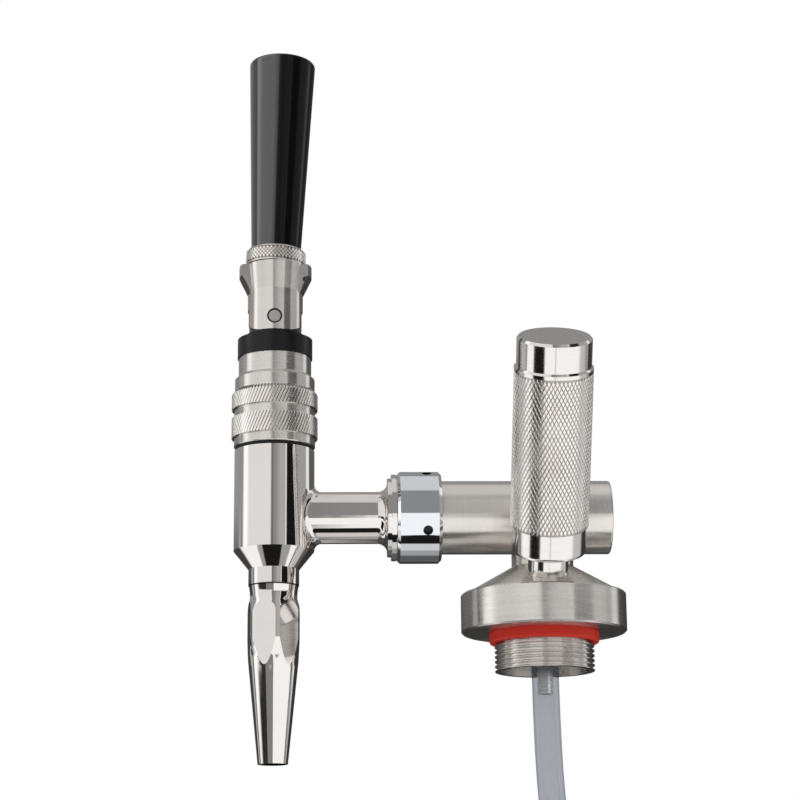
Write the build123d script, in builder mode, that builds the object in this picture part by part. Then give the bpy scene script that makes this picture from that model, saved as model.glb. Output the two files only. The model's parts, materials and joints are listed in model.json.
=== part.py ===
from build123d import *
from math import cos, pi, radians, sin, tan
import os

# Nitro coffee tap on a keg cap, in millimetres. The origin is on the keg's axis at the flange's
# underside, +Z is up, and the faucet stands at -X. The camera side is -Y.

os.makedirs("parts", exist_ok=True)

# Clearances
slip_gap = 0.05
thread_gap = 0.10
face_gap = 0.05
loose_gap = 0.30
fixed_gap = 0.02

# Share of a thread's pitch that its crest's flat takes
crest_share = 0.125

# Keg cap
flange_radius = 31.25
flange_height = 14.7
flange_chamfer = 0.6
cone_foot_radius = 29.5
cone_slope = 30.0
boss_radius = 11.7
cavity_depth = 3.0
channel_radius = 3.0

# Threaded ring under the cap
keg_thread_radius = 18.75
keg_thread_pitch = 1.814
keg_thread_crests = 5
keg_thread_run_in = 1.2
keg_ring_bore = 16.0
relief_radius = 17.4

# Keg gasket
gasket_radius = 20.7
gasket_thickness = 5.0
gasket_recess = 1.0
gasket_round = 0.8

# Liquid barb and dip tube
barb_radius = 2.9
barb_bore = 1.9
barb_length = 23.0
barb_collar_radius = 6.0
barb_collar_height = 3.0
barb_stud_radius = 4.0
barb_stud_length = 8.0
hose_radius = 5.1
hose_bore = 3.2
hose_route = [
    (0.0, 0.0, -38.0),
    (2.4, 0.3, -76.0),
    (5.0, 0.1, -113.0),
    (6.4, -0.9, -151.0),
    (6.6, -1.8, -188.0),
    (5.6, -1.4, -224.0),
]
hose_arc_share = 0.45

# Shank tube
shank_height = 44.3
shank_radius = 14.0
shank_wall = 1.5
shank_near_length = 38.4
shank_far_length = 26.0
shank_end_round = 0.8
plug_thickness = 3.0
plug_inset = 0.1
riser_radius = 4.0

# Shank nose, coupling nut and washer
nose_plug_length = 6.0
nose_bore = 5.0
nose_neck_radius = 12.0
nose_shoulder_radius = 13.6
nose_shoulder_length = 2.5
nose_spigot_radius = 8.9
nose_spigot_length = 3.5
washer_radius = 13.0
washer_thickness = 1.0
nut_radius = 17.5
nut_length = 16.9
nut_chamfer = 1.2
nut_lip_length = 3.15
nut_end_play = 0.15
nut_tube_gap = 0.1
spanner_hole_radius = 1.85
spanner_hole_depth = 2.4
spanner_hole_count = 4
spanner_hole_from_end = 5.5
spanner_hole_turn = 26.5

# Gas port
port_offset = 20.0
port_seat_sink = 0.8
port_stub_radius = 5.0
port_stub_length = 9.0
port_neck_radius = 7.5
port_neck_length = 10.3
port_head_radius = 10.5
port_head_length = 10.0
port_thread_pitch = 1.5
port_pocket_radius = 5.2
port_pocket_depth = 6.0
port_channel_radius = 1.25
valve_pocket_radius = 2.6
valve_pocket_depth = 6.6
valve_flange_height = 1.6
valve_nose_radius = 1.4
valve_bore_radius = 0.6
gas_seal_radius = 4.9
gas_seal_thickness = 2.0
needle_radius = 1.5
needle_bore = 0.6
needle_sunk_length = 6.5
needle_reach = 2.3
needle_point_length = 1.8

# Gas cartridge
cartridge_radius = 9.3
cartridge_length = 65.5
cartridge_neck_radius = 4.65
cartridge_neck_length = 9.0
cartridge_shoulder_length = 7.0
cartridge_wall = 1.4
cartridge_mouth_radius = 1.85
cartridge_mouth_length = 4.0

# Cartridge sleeve
sleeve_start = 7.9
sleeve_length = 81.9
sleeve_band_radius = 13.75
sleeve_grip_radius = 14.5
sleeve_foot_band = 10.2
sleeve_head_band = 10.8
sleeve_chamfer = 0.9
sleeve_grip_chamfer = 0.7
sleeve_thread_run_out = 1.5

# Faucet body
body_radius = 15.3
body_above_arm = 25.8
body_below_arm = 12.9
body_cone_height = 7.1
neck_radius = 9.6
neck_length = 6.2
chamber_radius = 10.0
chamber_floor_above_neck = 4.4
seat_radius = 5.0
seat_thickness = 2.0
collar_radius = 13.0
collar_height = 14.4

# Faucet arm and tail
arm_radius = 9.9
arm_bore = 5.0
arm_fillet = 2.8
arm_straight = 39.3
arm_flare_radius = 3.7
tail_ring_radius = 15.0
tail_ring_length = 1.5
tail_lip_radius = 16.5
tail_lip_length = 1.8
tail_thread_radius = 14.2
tail_thread_length = 10.3
tail_relief_length = 0.7
tail_thread_pitch = 1.41

# Bonnet
bonnet_gasket_thickness = 1.3
bonnet_gasket_radius = 15.0
bonnet_skirt_radius = 15.55
bonnet_skirt_height = 3.65
bonnet_knurl_radius = 16.55
bonnet_low_knurl_height = 7.7
bonnet_high_knurl_height = 7.25
bonnet_groove_radius = 15.5
bonnet_groove_height = 3.45
bonnet_knurl_chamfer = 1.5
bonnet_shoulder_radius = 15.35
bonnet_shoulder_height = 6.1
bonnet_shoulder_chamfer = 1.3
bonnet_top_radius = 14.0
bonnet_top_height = 7.2
bonnet_roof = 4.0
spring_room_radius = 9.0

# Plunger guide
guide_radius = 9.9
guide_length = 8.0
guide_flange_radius = 12.5
guide_flange_height = 3.0
guide_groove_above_foot = 4.0
o_ring_section = 1.0

# Plunger
shaft_radius = 4.0
shaft_eye_radius = 3.9
shaft_eye_thickness = 6.0
head_radius = 8.0
head_thickness = 3.0
seal_radius = 7.4
seal_thickness = 2.0
screw_radius = 1.9
screw_length = 8.0
screw_head_radius = 3.2
screw_head_height = 1.6
clip_radius = 6.0
clip_thickness = 0.6
clip_groove_depth = 0.7
spring_washer_radius = 8.2
spring_washer_thickness = 0.8
spring_radius = 6.3
spring_wire = 0.6
spring_turns = 5

# Nozzle
nozzle_top_radius = 9.35
nozzle_waist_radius = 9.0
nozzle_waist_drop = 4.9
nozzle_belly_radius = 10.25
nozzle_belly_drop = 10.4
nozzle_belly_length = 9.9
nozzle_tip_radius = 5.65
nozzle_length = 66.6
nozzle_bore = 4.9
nozzle_flat_radius = 9.25
nozzle_flat_length = 31.0
nozzle_flat_turn = 40.0
nozzle_spigot_length = 8.0
nozzle_spigot_gap = 0.1
nozzle_spigot_radius = 7.25
nozzle_ring_height = 3.1
nozzle_ring_section = 0.9
disc_radius = 6.0
disc_thickness = 1.5
disc_hole_radius = 0.4
disc_hole_circle = 2.6
disc_hole_count = 5
vane_thickness = 0.7
vane_tube_wall = 0.6
vane_length = 13.0

# Cam ring
cam_ring_radius = 14.45
cam_ring_height = 7.55
cam_pad_radius = 10.85
cam_pad_height = 2.1

# Lever yoke
pin_above_pad = 5.2
cam_gain = 5.0
lever_turn = 45.0
cam_steps = 6
yoke_height = 27.5
yoke_foot_radius = 10.7
yoke_top_radius = 11.7
yoke_taper_above_pin = 11.5
wing_radius = 14.1
wing_half_width = 6.0
wing_top_drop = 0.3
wing_face_height = 4.4
wing_taper_height = 7.0
wing_hole_radius = 1.25
wing_hole_offset = 11.9
wing_hole_drop = 6.3
slot_side_gap = 0.15
pin_radius = 2.25
pin_inset = 0.45
pin_recess_radius = 2.9
pin_recess_depth = 0.9

# Handle
handle_lean = 1.6
stud_radius = 4.75
stud_in_yoke = 12.0
stud_in_handle = 16.0
lock_ring_radius = 11.7
lock_ring_height = 6.3
lock_ring_lip = 0.7
lock_ring_lip_radius = 11.4
lock_ring_chamfer = 0.9
handle_foot_radius = 9.7
handle_head_radius = 13.0
handle_length = 79.7
handle_crown = 0.9
handle_round = 1.5
insert_radius = 6.5
insert_length = 20.0

# Levels on the faucet's axis, from the arm's axis up
body_top = shank_height + body_above_arm
bonnet_foot = body_top + bonnet_gasket_thickness
knurl_low = bonnet_foot + bonnet_skirt_height
groove_low = knurl_low + bonnet_low_knurl_height
knurl_high = groove_low + bonnet_groove_height
shoulder_low = knurl_high + bonnet_high_knurl_height
shoulder_high = shoulder_low + bonnet_shoulder_height
bonnet_top = shoulder_high + bonnet_top_height
pad_low = bonnet_top + cam_ring_height
pad_top = pad_low + cam_pad_height
pin_level = pad_top + pin_above_pad
yoke_top = pad_top + face_gap + yoke_height
collar_top = body_top + collar_height
guide_top = collar_top + guide_flange_height
roof_low = bonnet_top - bonnet_roof

# Levels on the faucet's axis, from the arm's axis down
body_foot = shank_height - body_below_arm
neck_top = body_foot - body_cone_height
neck_foot = neck_top - neck_length
seat_level = neck_top + chamber_floor_above_neck
tip_level = neck_foot - nozzle_length

# Places along the shank, from the keg's axis towards the faucet
nut_far_end = -shank_near_length - nut_tube_gap
nut_near_end = nut_far_end - nut_length
shoulder_right = nut_far_end - nut_lip_length - nut_end_play
shoulder_left = shoulder_right - nose_shoulder_length
tail_end = shoulder_left - washer_thickness
tail_thread_start = tail_end - tail_thread_length
tail_lip_start = tail_thread_start - tail_lip_length
flare_end = tail_lip_start - tail_ring_length
arm_end = flare_end - arm_flare_radius
faucet_reach = arm_straight - arm_end

# Places along the gas port's axis, from the cone's surface outwards
port_foot = -port_seat_sink - port_stub_length
port_head_foot = port_neck_length - port_seat_sink
port_head_top = port_head_foot + port_head_length
pocket_floor = port_head_top - port_pocket_depth
cartridge_foot = pocket_floor + gas_seal_thickness + 2 * face_gap
cartridge_top = cartridge_foot + cartridge_length
sleeve_end = sleeve_start + sleeve_length

# Planes whose second direction is the piece's axis, and the axes that the pieces are turned about
port_level = flange_height + (cone_foot_radius - port_offset) * tan(radians(cone_slope))
port_sine = sin(radians(cone_slope))
port_cosine = cos(radians(cone_slope))
port_point = (0, -port_offset, port_level)
lean_sine = sin(radians(handle_lean))
lean_cosine = cos(radians(handle_lean))
ring_seat = (-faucet_reach, 0, yoke_top + lock_ring_radius * lean_sine)

keg_section = Plane.XZ
keg_axis = Axis.Z
shank_section = Plane(origin=(0, 0, shank_height), x_dir=(1, 0, 0), z_dir=(0, -1, 0))
shank_axis = Axis((0, 0, shank_height), (1, 0, 0))
faucet_section = Plane(origin=(-faucet_reach, 0, 0), x_dir=(1, 0, 0), z_dir=(0, -1, 0))
faucet_axis = Axis((-faucet_reach, 0, 0), (0, 0, 1))
port_section = Plane(origin=port_point, x_dir=(1, 0, 0), z_dir=(0, -port_cosine, -port_sine))
port_axis = Axis(port_point, (0, -port_sine, port_cosine))
port_plane = Plane(origin=port_point, z_dir=port_axis.direction)
lever_section = Plane(origin=(-faucet_reach, 0, pin_level), x_dir=(1, 0, 0), z_dir=(0, -1, 0))
handle_section = Plane(origin=ring_seat, x_dir=(lean_cosine, 0, -lean_sine), z_dir=(0, -1, 0))
handle_axis = Axis(ring_seat, (lean_sine, 0, lean_cosine))
handle_plane = Plane(origin=ring_seat, z_dir=handle_axis.direction)


def finish(piece, name):
    """Label a finished piece and write it to its own file."""
    piece.part.label = name
    export_step(piece.part, f"parts/{name}.step")


def thread_root(crest, pitch):
    """Radius at the bottom of a 60 degree thread, whose root flat is a quarter of its pitch."""
    flank = (pitch - pitch * crest_share - pitch / 4) / 2
    return crest - flank / tan(radians(30))


def grooves(crest, start, pitch, end):
    """Outline points of a thread's grooves, as (radius, place) along the axis from start to end."""
    way = 1 if end > start else -1
    count = int((abs(end - start) - pitch * crest_share) / pitch)
    root = thread_root(crest, pitch)
    flank = (pitch - pitch * crest_share - pitch / 4) / 2
    points = []
    for i in range(count):
        low = start + way * pitch * (crest_share + i)
        points.append((crest, low))
        points.append((root, low + way * flank))
        points.append((root, low + way * (flank + pitch / 4)))
        points.append((crest, low + way * (2 * flank + pitch / 4)))
    return points


def ring_piece(section, axis, inner, outer, low, high):
    """A plain turned ring between two radii and two places along its axis."""
    with BuildPart() as piece:
        with BuildSketch(section):
            with Locations(((inner + outer) / 2, (low + high) / 2)):
                Rectangle(outer - inner, high - low)
        revolve(axis=axis)
    return piece


def o_ring_piece(section, axis, middle, height, radius):
    """A round-section ring about the axis."""
    with BuildPart() as piece:
        with BuildSketch(section):
            with Locations((middle, height)):
                Circle(radius)
        revolve(axis=axis)
    return piece


# Keg cap: boss, cone, flange and threaded ring in one turned piece
cone_top = flange_height + (cone_foot_radius - boss_radius) * tan(radians(cone_slope))
gasket_low = gasket_recess - gasket_thickness
thread_high = gasket_low - keg_thread_run_in
thread_low = thread_high - (keg_thread_crests + crest_share) * keg_thread_pitch
gas_way_length = (port_level - cavity_depth) / port_cosine

with BuildPart() as keg_cap:
    with BuildSketch(keg_section):
        with BuildLine():
            Polyline(
                (0, shank_height),
                (boss_radius, shank_height),
                (boss_radius, cone_top),
                (cone_foot_radius, flange_height),
                (flange_radius - flange_chamfer, flange_height),
                (flange_radius, flange_height - flange_chamfer),
                (flange_radius, flange_chamfer),
                (flange_radius - flange_chamfer, 0),
                (gasket_radius + loose_gap, 0),
                (gasket_radius + loose_gap, gasket_recess),
                (relief_radius, gasket_recess),
                (relief_radius, thread_high),
                (keg_thread_radius, thread_high),
                *grooves(keg_thread_radius, thread_high, keg_thread_pitch, thread_low - fixed_gap),
                (keg_thread_radius, thread_low),
                (keg_ring_bore, thread_low),
                (keg_ring_bore, cavity_depth),
                (0, cavity_depth),
                close=True,
            )
        make_face()
    revolve(axis=keg_axis)
    with BuildSketch(Plane.YZ):
        with Locations((0, shank_height)):
            Circle(shank_radius + fixed_gap)
    extrude(amount=flange_radius, both=True, mode=Mode.SUBTRACT)
    with BuildSketch(Plane.XY.offset(cavity_depth)):
        Circle(barb_stud_radius + fixed_gap)
    extrude(amount=barb_stud_length + face_gap, mode=Mode.SUBTRACT)
    with BuildSketch(Plane.XY.offset(cavity_depth)):
        Circle(channel_radius)
    extrude(amount=shank_height, mode=Mode.SUBTRACT)
    with BuildSketch(port_plane.offset(-port_seat_sink - fixed_gap)):
        Circle(port_neck_radius + thread_gap)
    extrude(amount=port_neck_length, mode=Mode.SUBTRACT)
    with BuildSketch(port_plane):
        Circle(port_stub_radius + fixed_gap)
    extrude(amount=port_foot - fixed_gap, mode=Mode.SUBTRACT)
    with BuildSketch(port_plane):
        Circle(port_channel_radius)
    extrude(amount=-gas_way_length - port_channel_radius, mode=Mode.SUBTRACT)
finish(keg_cap, "keg_cap")

# Keg gasket in the flange's shallow recess
with BuildPart() as keg_gasket:
    with BuildSketch(keg_section):
        with Locations(
            (
                (relief_radius + slip_gap + gasket_radius) / 2,
                (gasket_recess - fixed_gap + gasket_low) / 2,
            )
        ):
            RectangleRounded(
                gasket_radius - relief_radius - slip_gap,
                gasket_thickness - fixed_gap,
                gasket_round,
            )
    revolve(axis=keg_axis)
finish(keg_gasket, "keg_gasket")

# Liquid barb, screwed up into the cap
barb_top = cavity_depth + barb_stud_length
collar_foot = cavity_depth - fixed_gap - barb_collar_height
barb_foot = collar_foot - barb_length
with BuildPart() as liquid_barb:
    with BuildSketch(keg_section):
        with BuildLine():
            Polyline(
                (barb_bore, barb_top),
                (barb_stud_radius, barb_top),
                (barb_stud_radius, cavity_depth - fixed_gap),
                (barb_collar_radius, cavity_depth - fixed_gap),
                (barb_collar_radius, collar_foot),
                (barb_radius, collar_foot),
                (barb_radius, barb_foot),
                (barb_bore, barb_foot),
                close=True,
            )
        make_face()
    revolve(axis=keg_axis)
finish(liquid_barb, "liquid_barb")

# Dip tube: a hose from the barb's collar, as straight runs joined by tangent arcs
hose_start = (0, 0, collar_foot - fixed_gap)
hose_points = [hose_start, *hose_route]


def corner_radius(before, corner, after):
    """The largest arc that the two runs at a corner of the hose's route allow."""
    run_in = Vector(*corner) - Vector(*before)
    run_out = Vector(*after) - Vector(*corner)
    turn = radians(run_in.get_angle(run_out))
    return hose_arc_share * min(run_in.length, run_out.length) / tan(turn / 2)


hose_corners = zip(hose_points, hose_points[1:], hose_points[2:])
hose_radii = [corner_radius(*corner) for corner in hose_corners]
with BuildPart() as dip_tube:
    with BuildLine() as hose_path:
        FilletPolyline(*hose_points, radius=hose_radii)
    with BuildSketch(Plane(origin=hose_start, z_dir=(0, 0, -1))):
        Circle(hose_radius)
        Circle(hose_bore, mode=Mode.SUBTRACT)
    sweep(path=hose_path.wires()[0])
finish(dip_tube, "dip_tube")
hose_run = hose_path.wires()[0].length
hose_ring = pi * (hose_radius**2 - hose_bore**2)
print("dip tube radii", [round(r, 1) for r in hose_radii])
print("dip tube length", round(hose_run, 2))
print("dip tube volume", round(dip_tube.part.volume, 1), "section x length", round(hose_ring * hose_run, 1))

# Shank tube on the boss, with the riser hole from the cap
tube_bore = shank_radius - shank_wall
with BuildPart() as shank_tube:
    with BuildSketch(Plane(origin=(-shank_near_length, 0, shank_height), z_dir=(1, 0, 0))):
        Circle(shank_radius)
    extrude(amount=shank_near_length + shank_far_length)
    fillet(shank_tube.faces().sort_by(Axis.X)[-1].edges(), radius=shank_end_round)
    with BuildSketch(Plane(origin=(-shank_near_length, 0, shank_height), z_dir=(1, 0, 0))):
        Circle(tube_bore)
    extrude(amount=shank_near_length + shank_far_length, mode=Mode.SUBTRACT)
    with BuildSketch(Plane.XY):
        Circle(riser_radius)
    extrude(amount=shank_height, mode=Mode.SUBTRACT)
finish(shank_tube, "shank_tube")

# Plug that closes the tube's far end
plug_right = shank_far_length - plug_inset
shank_end_plug = ring_piece(
    Plane(origin=(0, 0, shank_height), x_dir=(0, 0, 1), z_dir=(0, 1, 0)),
    shank_axis,
    0,
    tube_bore - fixed_gap,
    plug_right - plug_thickness,
    plug_right,
)
finish(shank_end_plug, "shank_end_plug")

# Shank nose: plug in the tube, neck through the nut's lip, shoulder and spigot
spigot_end = shoulder_left - nose_spigot_length
nose_foot = -shank_near_length - fixed_gap
with BuildPart() as shank_nose:
    with BuildSketch(shank_section):
        with BuildLine():
            Polyline(
                (-shank_near_length + nose_plug_length, nose_bore),
                (-shank_near_length + nose_plug_length, tube_bore - fixed_gap),
                (nose_foot, tube_bore - fixed_gap),
                (nose_foot, nose_neck_radius),
                (shoulder_right, nose_neck_radius),
                (shoulder_right, nose_shoulder_radius),
                (shoulder_left, nose_shoulder_radius),
                (shoulder_left, nose_spigot_radius),
                (spigot_end, nose_spigot_radius),
                (spigot_end, nose_bore),
                close=True,
            )
        make_face()
    revolve(axis=shank_axis)
finish(shank_nose, "shank_nose")

# Washer between the nose's shoulder and the faucet's tail
with BuildPart() as shank_washer:
    with BuildSketch(shank_section):
        with BuildLine():
            Polyline(
                (shoulder_left - fixed_gap, nose_spigot_radius + slip_gap),
                (shoulder_left - fixed_gap, washer_radius),
                (tail_end + face_gap, washer_radius),
                (tail_end + face_gap, nose_spigot_radius + slip_gap),
                close=True,
            )
        make_face()
    revolve(axis=shank_axis)
finish(shank_washer, "shank_washer")

# Coupling nut, held on the nose by its lip
nut_bore = tail_thread_radius + thread_gap
with BuildPart() as coupling_nut:
    with BuildSketch(shank_section):
        with BuildLine():
            Polyline(
                (nut_near_end, nut_bore),
                (nut_near_end, nut_radius - nut_chamfer),
                (nut_near_end + nut_chamfer, nut_radius),
                (nut_far_end - nut_chamfer, nut_radius),
                (nut_far_end, nut_radius - nut_chamfer),
                (nut_far_end, nose_neck_radius + loose_gap),
                (nut_far_end - nut_lip_length, nose_neck_radius + loose_gap),
                (nut_far_end - nut_lip_length, nut_bore),
                close=True,
            )
        make_face()
    revolve(axis=shank_axis)
    for i in range(spanner_hole_count):
        angle = radians(spanner_hole_turn + i * 360 / spanner_hole_count)
        outward = Vector(0, -cos(angle), -sin(angle))
        hole_centre = Vector(nut_far_end - spanner_hole_from_end, 0, shank_height) + outward * nut_radius
        with BuildSketch(Plane(origin=hole_centre, z_dir=outward)):
            Circle(spanner_hole_radius)
        extrude(amount=-spanner_hole_depth, mode=Mode.SUBTRACT)
finish(coupling_nut, "coupling_nut")

# Gas port: stub in the cone, neck, and a threaded head inside the sleeve
with BuildPart() as gas_port:
    with BuildSketch(port_section):
        with BuildLine():
            Polyline(
                (port_channel_radius, port_foot),
                (port_stub_radius, port_foot),
                (port_stub_radius, -port_seat_sink),
                (port_neck_radius, -port_seat_sink),
                (port_neck_radius, port_head_foot),
                (port_head_radius, port_head_foot),
                *grooves(port_head_radius, port_head_foot, port_thread_pitch, port_head_top),
                (port_head_radius, port_head_top),
                (port_pocket_radius, port_head_top),
                (port_pocket_radius, pocket_floor),
                (needle_radius + fixed_gap, pocket_floor),
                (needle_radius + fixed_gap, pocket_floor - needle_sunk_length - fixed_gap),
                (port_channel_radius, pocket_floor - needle_sunk_length - fixed_gap),
                close=True,
            )
        make_face()
    revolve(axis=port_axis)
    with BuildSketch(port_plane.offset(port_foot)):
        Circle(valve_pocket_radius)
    extrude(amount=valve_pocket_depth, mode=Mode.SUBTRACT)
finish(gas_port, "gas_port")

# One-way valve in the stub's pocket
valve_top = port_foot + valve_pocket_depth - fixed_gap
with BuildPart() as gas_check_valve:
    with BuildSketch(port_section):
        with BuildLine():
            Polyline(
                (valve_bore_radius, valve_top),
                (valve_pocket_radius - fixed_gap, valve_top),
                (valve_pocket_radius - fixed_gap, valve_top - valve_flange_height),
                (valve_nose_radius, valve_top - valve_flange_height - valve_nose_radius),
                (valve_nose_radius, port_foot + fixed_gap),
                (valve_bore_radius, port_foot + fixed_gap),
                close=True,
            )
        make_face()
    revolve(axis=port_axis)
finish(gas_check_valve, "gas_check_valve")

# Ring that seals the cartridge's neck
gas_seal = ring_piece(
    port_section,
    port_axis,
    needle_radius + slip_gap,
    gas_seal_radius,
    pocket_floor + fixed_gap,
    pocket_floor + gas_seal_thickness,
)
finish(gas_seal, "gas_seal")

# Hollow needle, pressed into the port
needle_foot = pocket_floor - needle_sunk_length
needle_top = cartridge_foot + needle_reach
with BuildPart() as pierce_needle:
    with BuildSketch(port_section):
        with BuildLine():
            Polyline(
                (needle_bore, needle_foot),
                (needle_radius, needle_foot),
                (needle_radius, needle_top - needle_point_length),
                (needle_bore, needle_top),
                close=True,
            )
        make_face()
    revolve(axis=port_axis)
finish(pierce_needle, "pierce_needle")

# Gas cartridge, pierced: a hollow bottle, neck down
shoulder_start = cartridge_foot + cartridge_neck_length
wall_start = shoulder_start + cartridge_shoulder_length
dome_start = cartridge_top - cartridge_radius
inner_radius = cartridge_radius - cartridge_wall
dome_mid = cos(radians(45))
with BuildPart() as gas_cartridge:
    with BuildSketch(port_section):
        with BuildLine():
            Polyline(
                (cartridge_mouth_radius, cartridge_foot),
                (cartridge_neck_radius, cartridge_foot),
                (cartridge_neck_radius, shoulder_start),
                (cartridge_radius, wall_start),
                (cartridge_radius, dome_start),
            )
            ThreePointArc(
                (cartridge_radius, dome_start),
                (cartridge_radius * dome_mid, dome_start + cartridge_radius * dome_mid),
                (0, cartridge_top),
            )
            Line((0, cartridge_top), (0, cartridge_top - cartridge_wall))
            ThreePointArc(
                (0, cartridge_top - cartridge_wall),
                (inner_radius * dome_mid, dome_start + inner_radius * dome_mid),
                (inner_radius, dome_start),
            )
            Polyline(
                (inner_radius, dome_start),
                (inner_radius, wall_start),
                (cartridge_neck_radius - cartridge_wall, shoulder_start),
                (cartridge_neck_radius - cartridge_wall, cartridge_foot + cartridge_mouth_length),
                (cartridge_mouth_radius, cartridge_foot + cartridge_mouth_length),
                (cartridge_mouth_radius, cartridge_foot),
            )
        make_face()
    revolve(axis=port_axis)
finish(gas_cartridge, "gas_cartridge")

# Cartridge sleeve: a closed knurled cap with the female thread at its foot
sleeve_thread_bore = port_head_radius + thread_gap
sleeve_bore = cartridge_radius + loose_gap
sleeve_step = port_head_top + sleeve_thread_run_out
sleeve_roof = cartridge_top + loose_gap
with BuildPart() as cartridge_sleeve:
    with BuildSketch(port_section):
        with BuildLine():
            Polyline(
                (sleeve_thread_bore, sleeve_start),
                (sleeve_band_radius - sleeve_chamfer, sleeve_start),
                (sleeve_band_radius, sleeve_start + sleeve_chamfer),
                (sleeve_band_radius, sleeve_start + sleeve_foot_band),
                (sleeve_grip_radius, sleeve_start + sleeve_foot_band),
                (sleeve_grip_radius, sleeve_end - sleeve_head_band - sleeve_grip_chamfer),
                (sleeve_grip_radius - sleeve_grip_chamfer, sleeve_end - sleeve_head_band),
                (sleeve_band_radius, sleeve_end - sleeve_head_band),
                (sleeve_band_radius, sleeve_end - sleeve_chamfer),
                (sleeve_band_radius - sleeve_chamfer, sleeve_end),
                (0, sleeve_end),
                (0, sleeve_roof),
                (sleeve_bore, sleeve_roof),
                (sleeve_bore, sleeve_step),
                (sleeve_thread_bore, sleeve_step),
                close=True,
            )
        make_face()
    revolve(axis=port_axis)
finish(cartridge_sleeve, "cartridge_sleeve")

# Faucet body: collar, barrel, cone, neck, side arm and threaded tail
flare_top = arm_radius + arm_flare_radius
flare_turn = arm_flare_radius * (1 - cos(radians(45)))
spigot_bore = nozzle_spigot_radius + thread_gap
tail_pocket = spigot_end - loose_gap
relief_end = tail_thread_start + tail_relief_length
tail_root = thread_root(tail_thread_radius, tail_thread_pitch)
tail_grooves = grooves(tail_thread_radius, relief_end, tail_thread_pitch, tail_end)
with BuildPart() as faucet_body:
    with BuildSketch(faucet_section):
        with BuildLine():
            Polyline(
                (0, body_top),
                (body_radius, body_top),
                (body_radius, body_foot),
                (neck_radius, neck_top),
                (neck_radius, neck_foot),
                (0, neck_foot),
                close=True,
            )
        make_face()
    revolve(axis=faucet_axis)
    with BuildSketch(Plane(origin=(-faucet_reach, 0, shank_height), z_dir=(1, 0, 0))):
        Circle(arm_radius)
    extrude(amount=arm_straight)
    arm_root = [
        edge
        for edge in faucet_body.edges().filter_by(GeomType.BSPLINE)
        if abs(edge.center().Z - shank_height) < arm_radius
    ]
    fillet(arm_root, radius=arm_fillet)
    with BuildSketch(faucet_section):
        with BuildLine():
            Polyline(
                (0, body_top),
                (collar_radius, body_top),
                *grooves(collar_radius, body_top, tail_thread_pitch, collar_top),
                (collar_radius, collar_top),
                (0, collar_top),
                close=True,
            )
        make_face()
    revolve(axis=faucet_axis)
    with BuildSketch(shank_section):
        with BuildLine():
            Line((arm_end, 0), (arm_end, arm_radius))
            ThreePointArc(
                (arm_end, arm_radius),
                (arm_end + arm_flare_radius - flare_turn, arm_radius + flare_turn),
                (flare_end, flare_top),
            )
            Polyline(
                (flare_end, flare_top),
                (flare_end, tail_ring_radius),
                (tail_lip_start, tail_ring_radius),
                (tail_lip_start, tail_lip_radius),
                (tail_thread_start, tail_lip_radius),
                (tail_thread_start, tail_root),
                (relief_end, tail_root),
                (relief_end, tail_thread_radius),
                *[(place, radius) for radius, place in tail_grooves],
                (tail_end, tail_thread_radius),
                (tail_end, 0),
                (arm_end, 0),
            )
        make_face()
    revolve(axis=shank_axis)
    with BuildSketch(Plane(origin=(-faucet_reach, 0, seat_level))):
        Circle(chamber_radius)
    extrude(amount=collar_top - seat_level, mode=Mode.SUBTRACT)
    with BuildSketch(Plane(origin=(-faucet_reach, 0, neck_foot))):
        Circle(spigot_bore)
    extrude(amount=seat_level - seat_thickness - neck_foot, mode=Mode.SUBTRACT)
    with BuildSketch(Plane(origin=(-faucet_reach, 0, neck_foot))):
        Circle(seat_radius)
    extrude(amount=seat_level - neck_foot, mode=Mode.SUBTRACT)
    with BuildSketch(Plane(origin=(-faucet_reach, 0, shank_height), z_dir=(1, 0, 0))):
        Circle(arm_bore)
    extrude(amount=faucet_reach + tail_end, mode=Mode.SUBTRACT)
    with BuildSketch(Plane(origin=(tail_end, 0, shank_height), z_dir=(-1, 0, 0))):
        Circle(nose_spigot_radius + thread_gap)
    extrude(amount=tail_end - tail_pocket, mode=Mode.SUBTRACT)
finish(faucet_body, "faucet_body")

# Thin black ring between body and bonnet
bonnet_gasket = ring_piece(
    faucet_section,
    faucet_axis,
    collar_radius + thread_gap,
    bonnet_gasket_radius,
    body_top + fixed_gap,
    bonnet_foot - fixed_gap,
)
finish(bonnet_gasket, "bonnet_gasket")

# Plunger guide on the collar, with the groove for its ring
groove_level = collar_top - guide_length + guide_groove_above_foot
groove_half = o_ring_section + fixed_gap
ring_middle = shaft_radius + slip_gap + o_ring_section
with BuildPart() as plunger_guide:
    with BuildSketch(faucet_section):
        with BuildLine():
            Polyline(
                (shaft_radius + slip_gap, guide_top),
                (guide_flange_radius, guide_top),
                (guide_flange_radius, collar_top + fixed_gap),
                (guide_radius, collar_top + fixed_gap),
                (guide_radius, collar_top - guide_length),
                (shaft_radius + slip_gap, collar_top - guide_length),
                (shaft_radius + slip_gap, groove_level - groove_half),
                (ring_middle + groove_half, groove_level - groove_half),
                (ring_middle + groove_half, groove_level + groove_half),
                (shaft_radius + slip_gap, groove_level + groove_half),
                close=True,
            )
        make_face()
    revolve(axis=faucet_axis)
finish(plunger_guide, "plunger_guide")

plunger_o_ring = o_ring_piece(faucet_section, faucet_axis, ring_middle, groove_level, o_ring_section)
finish(plunger_o_ring, "plunger_o_ring")

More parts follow.
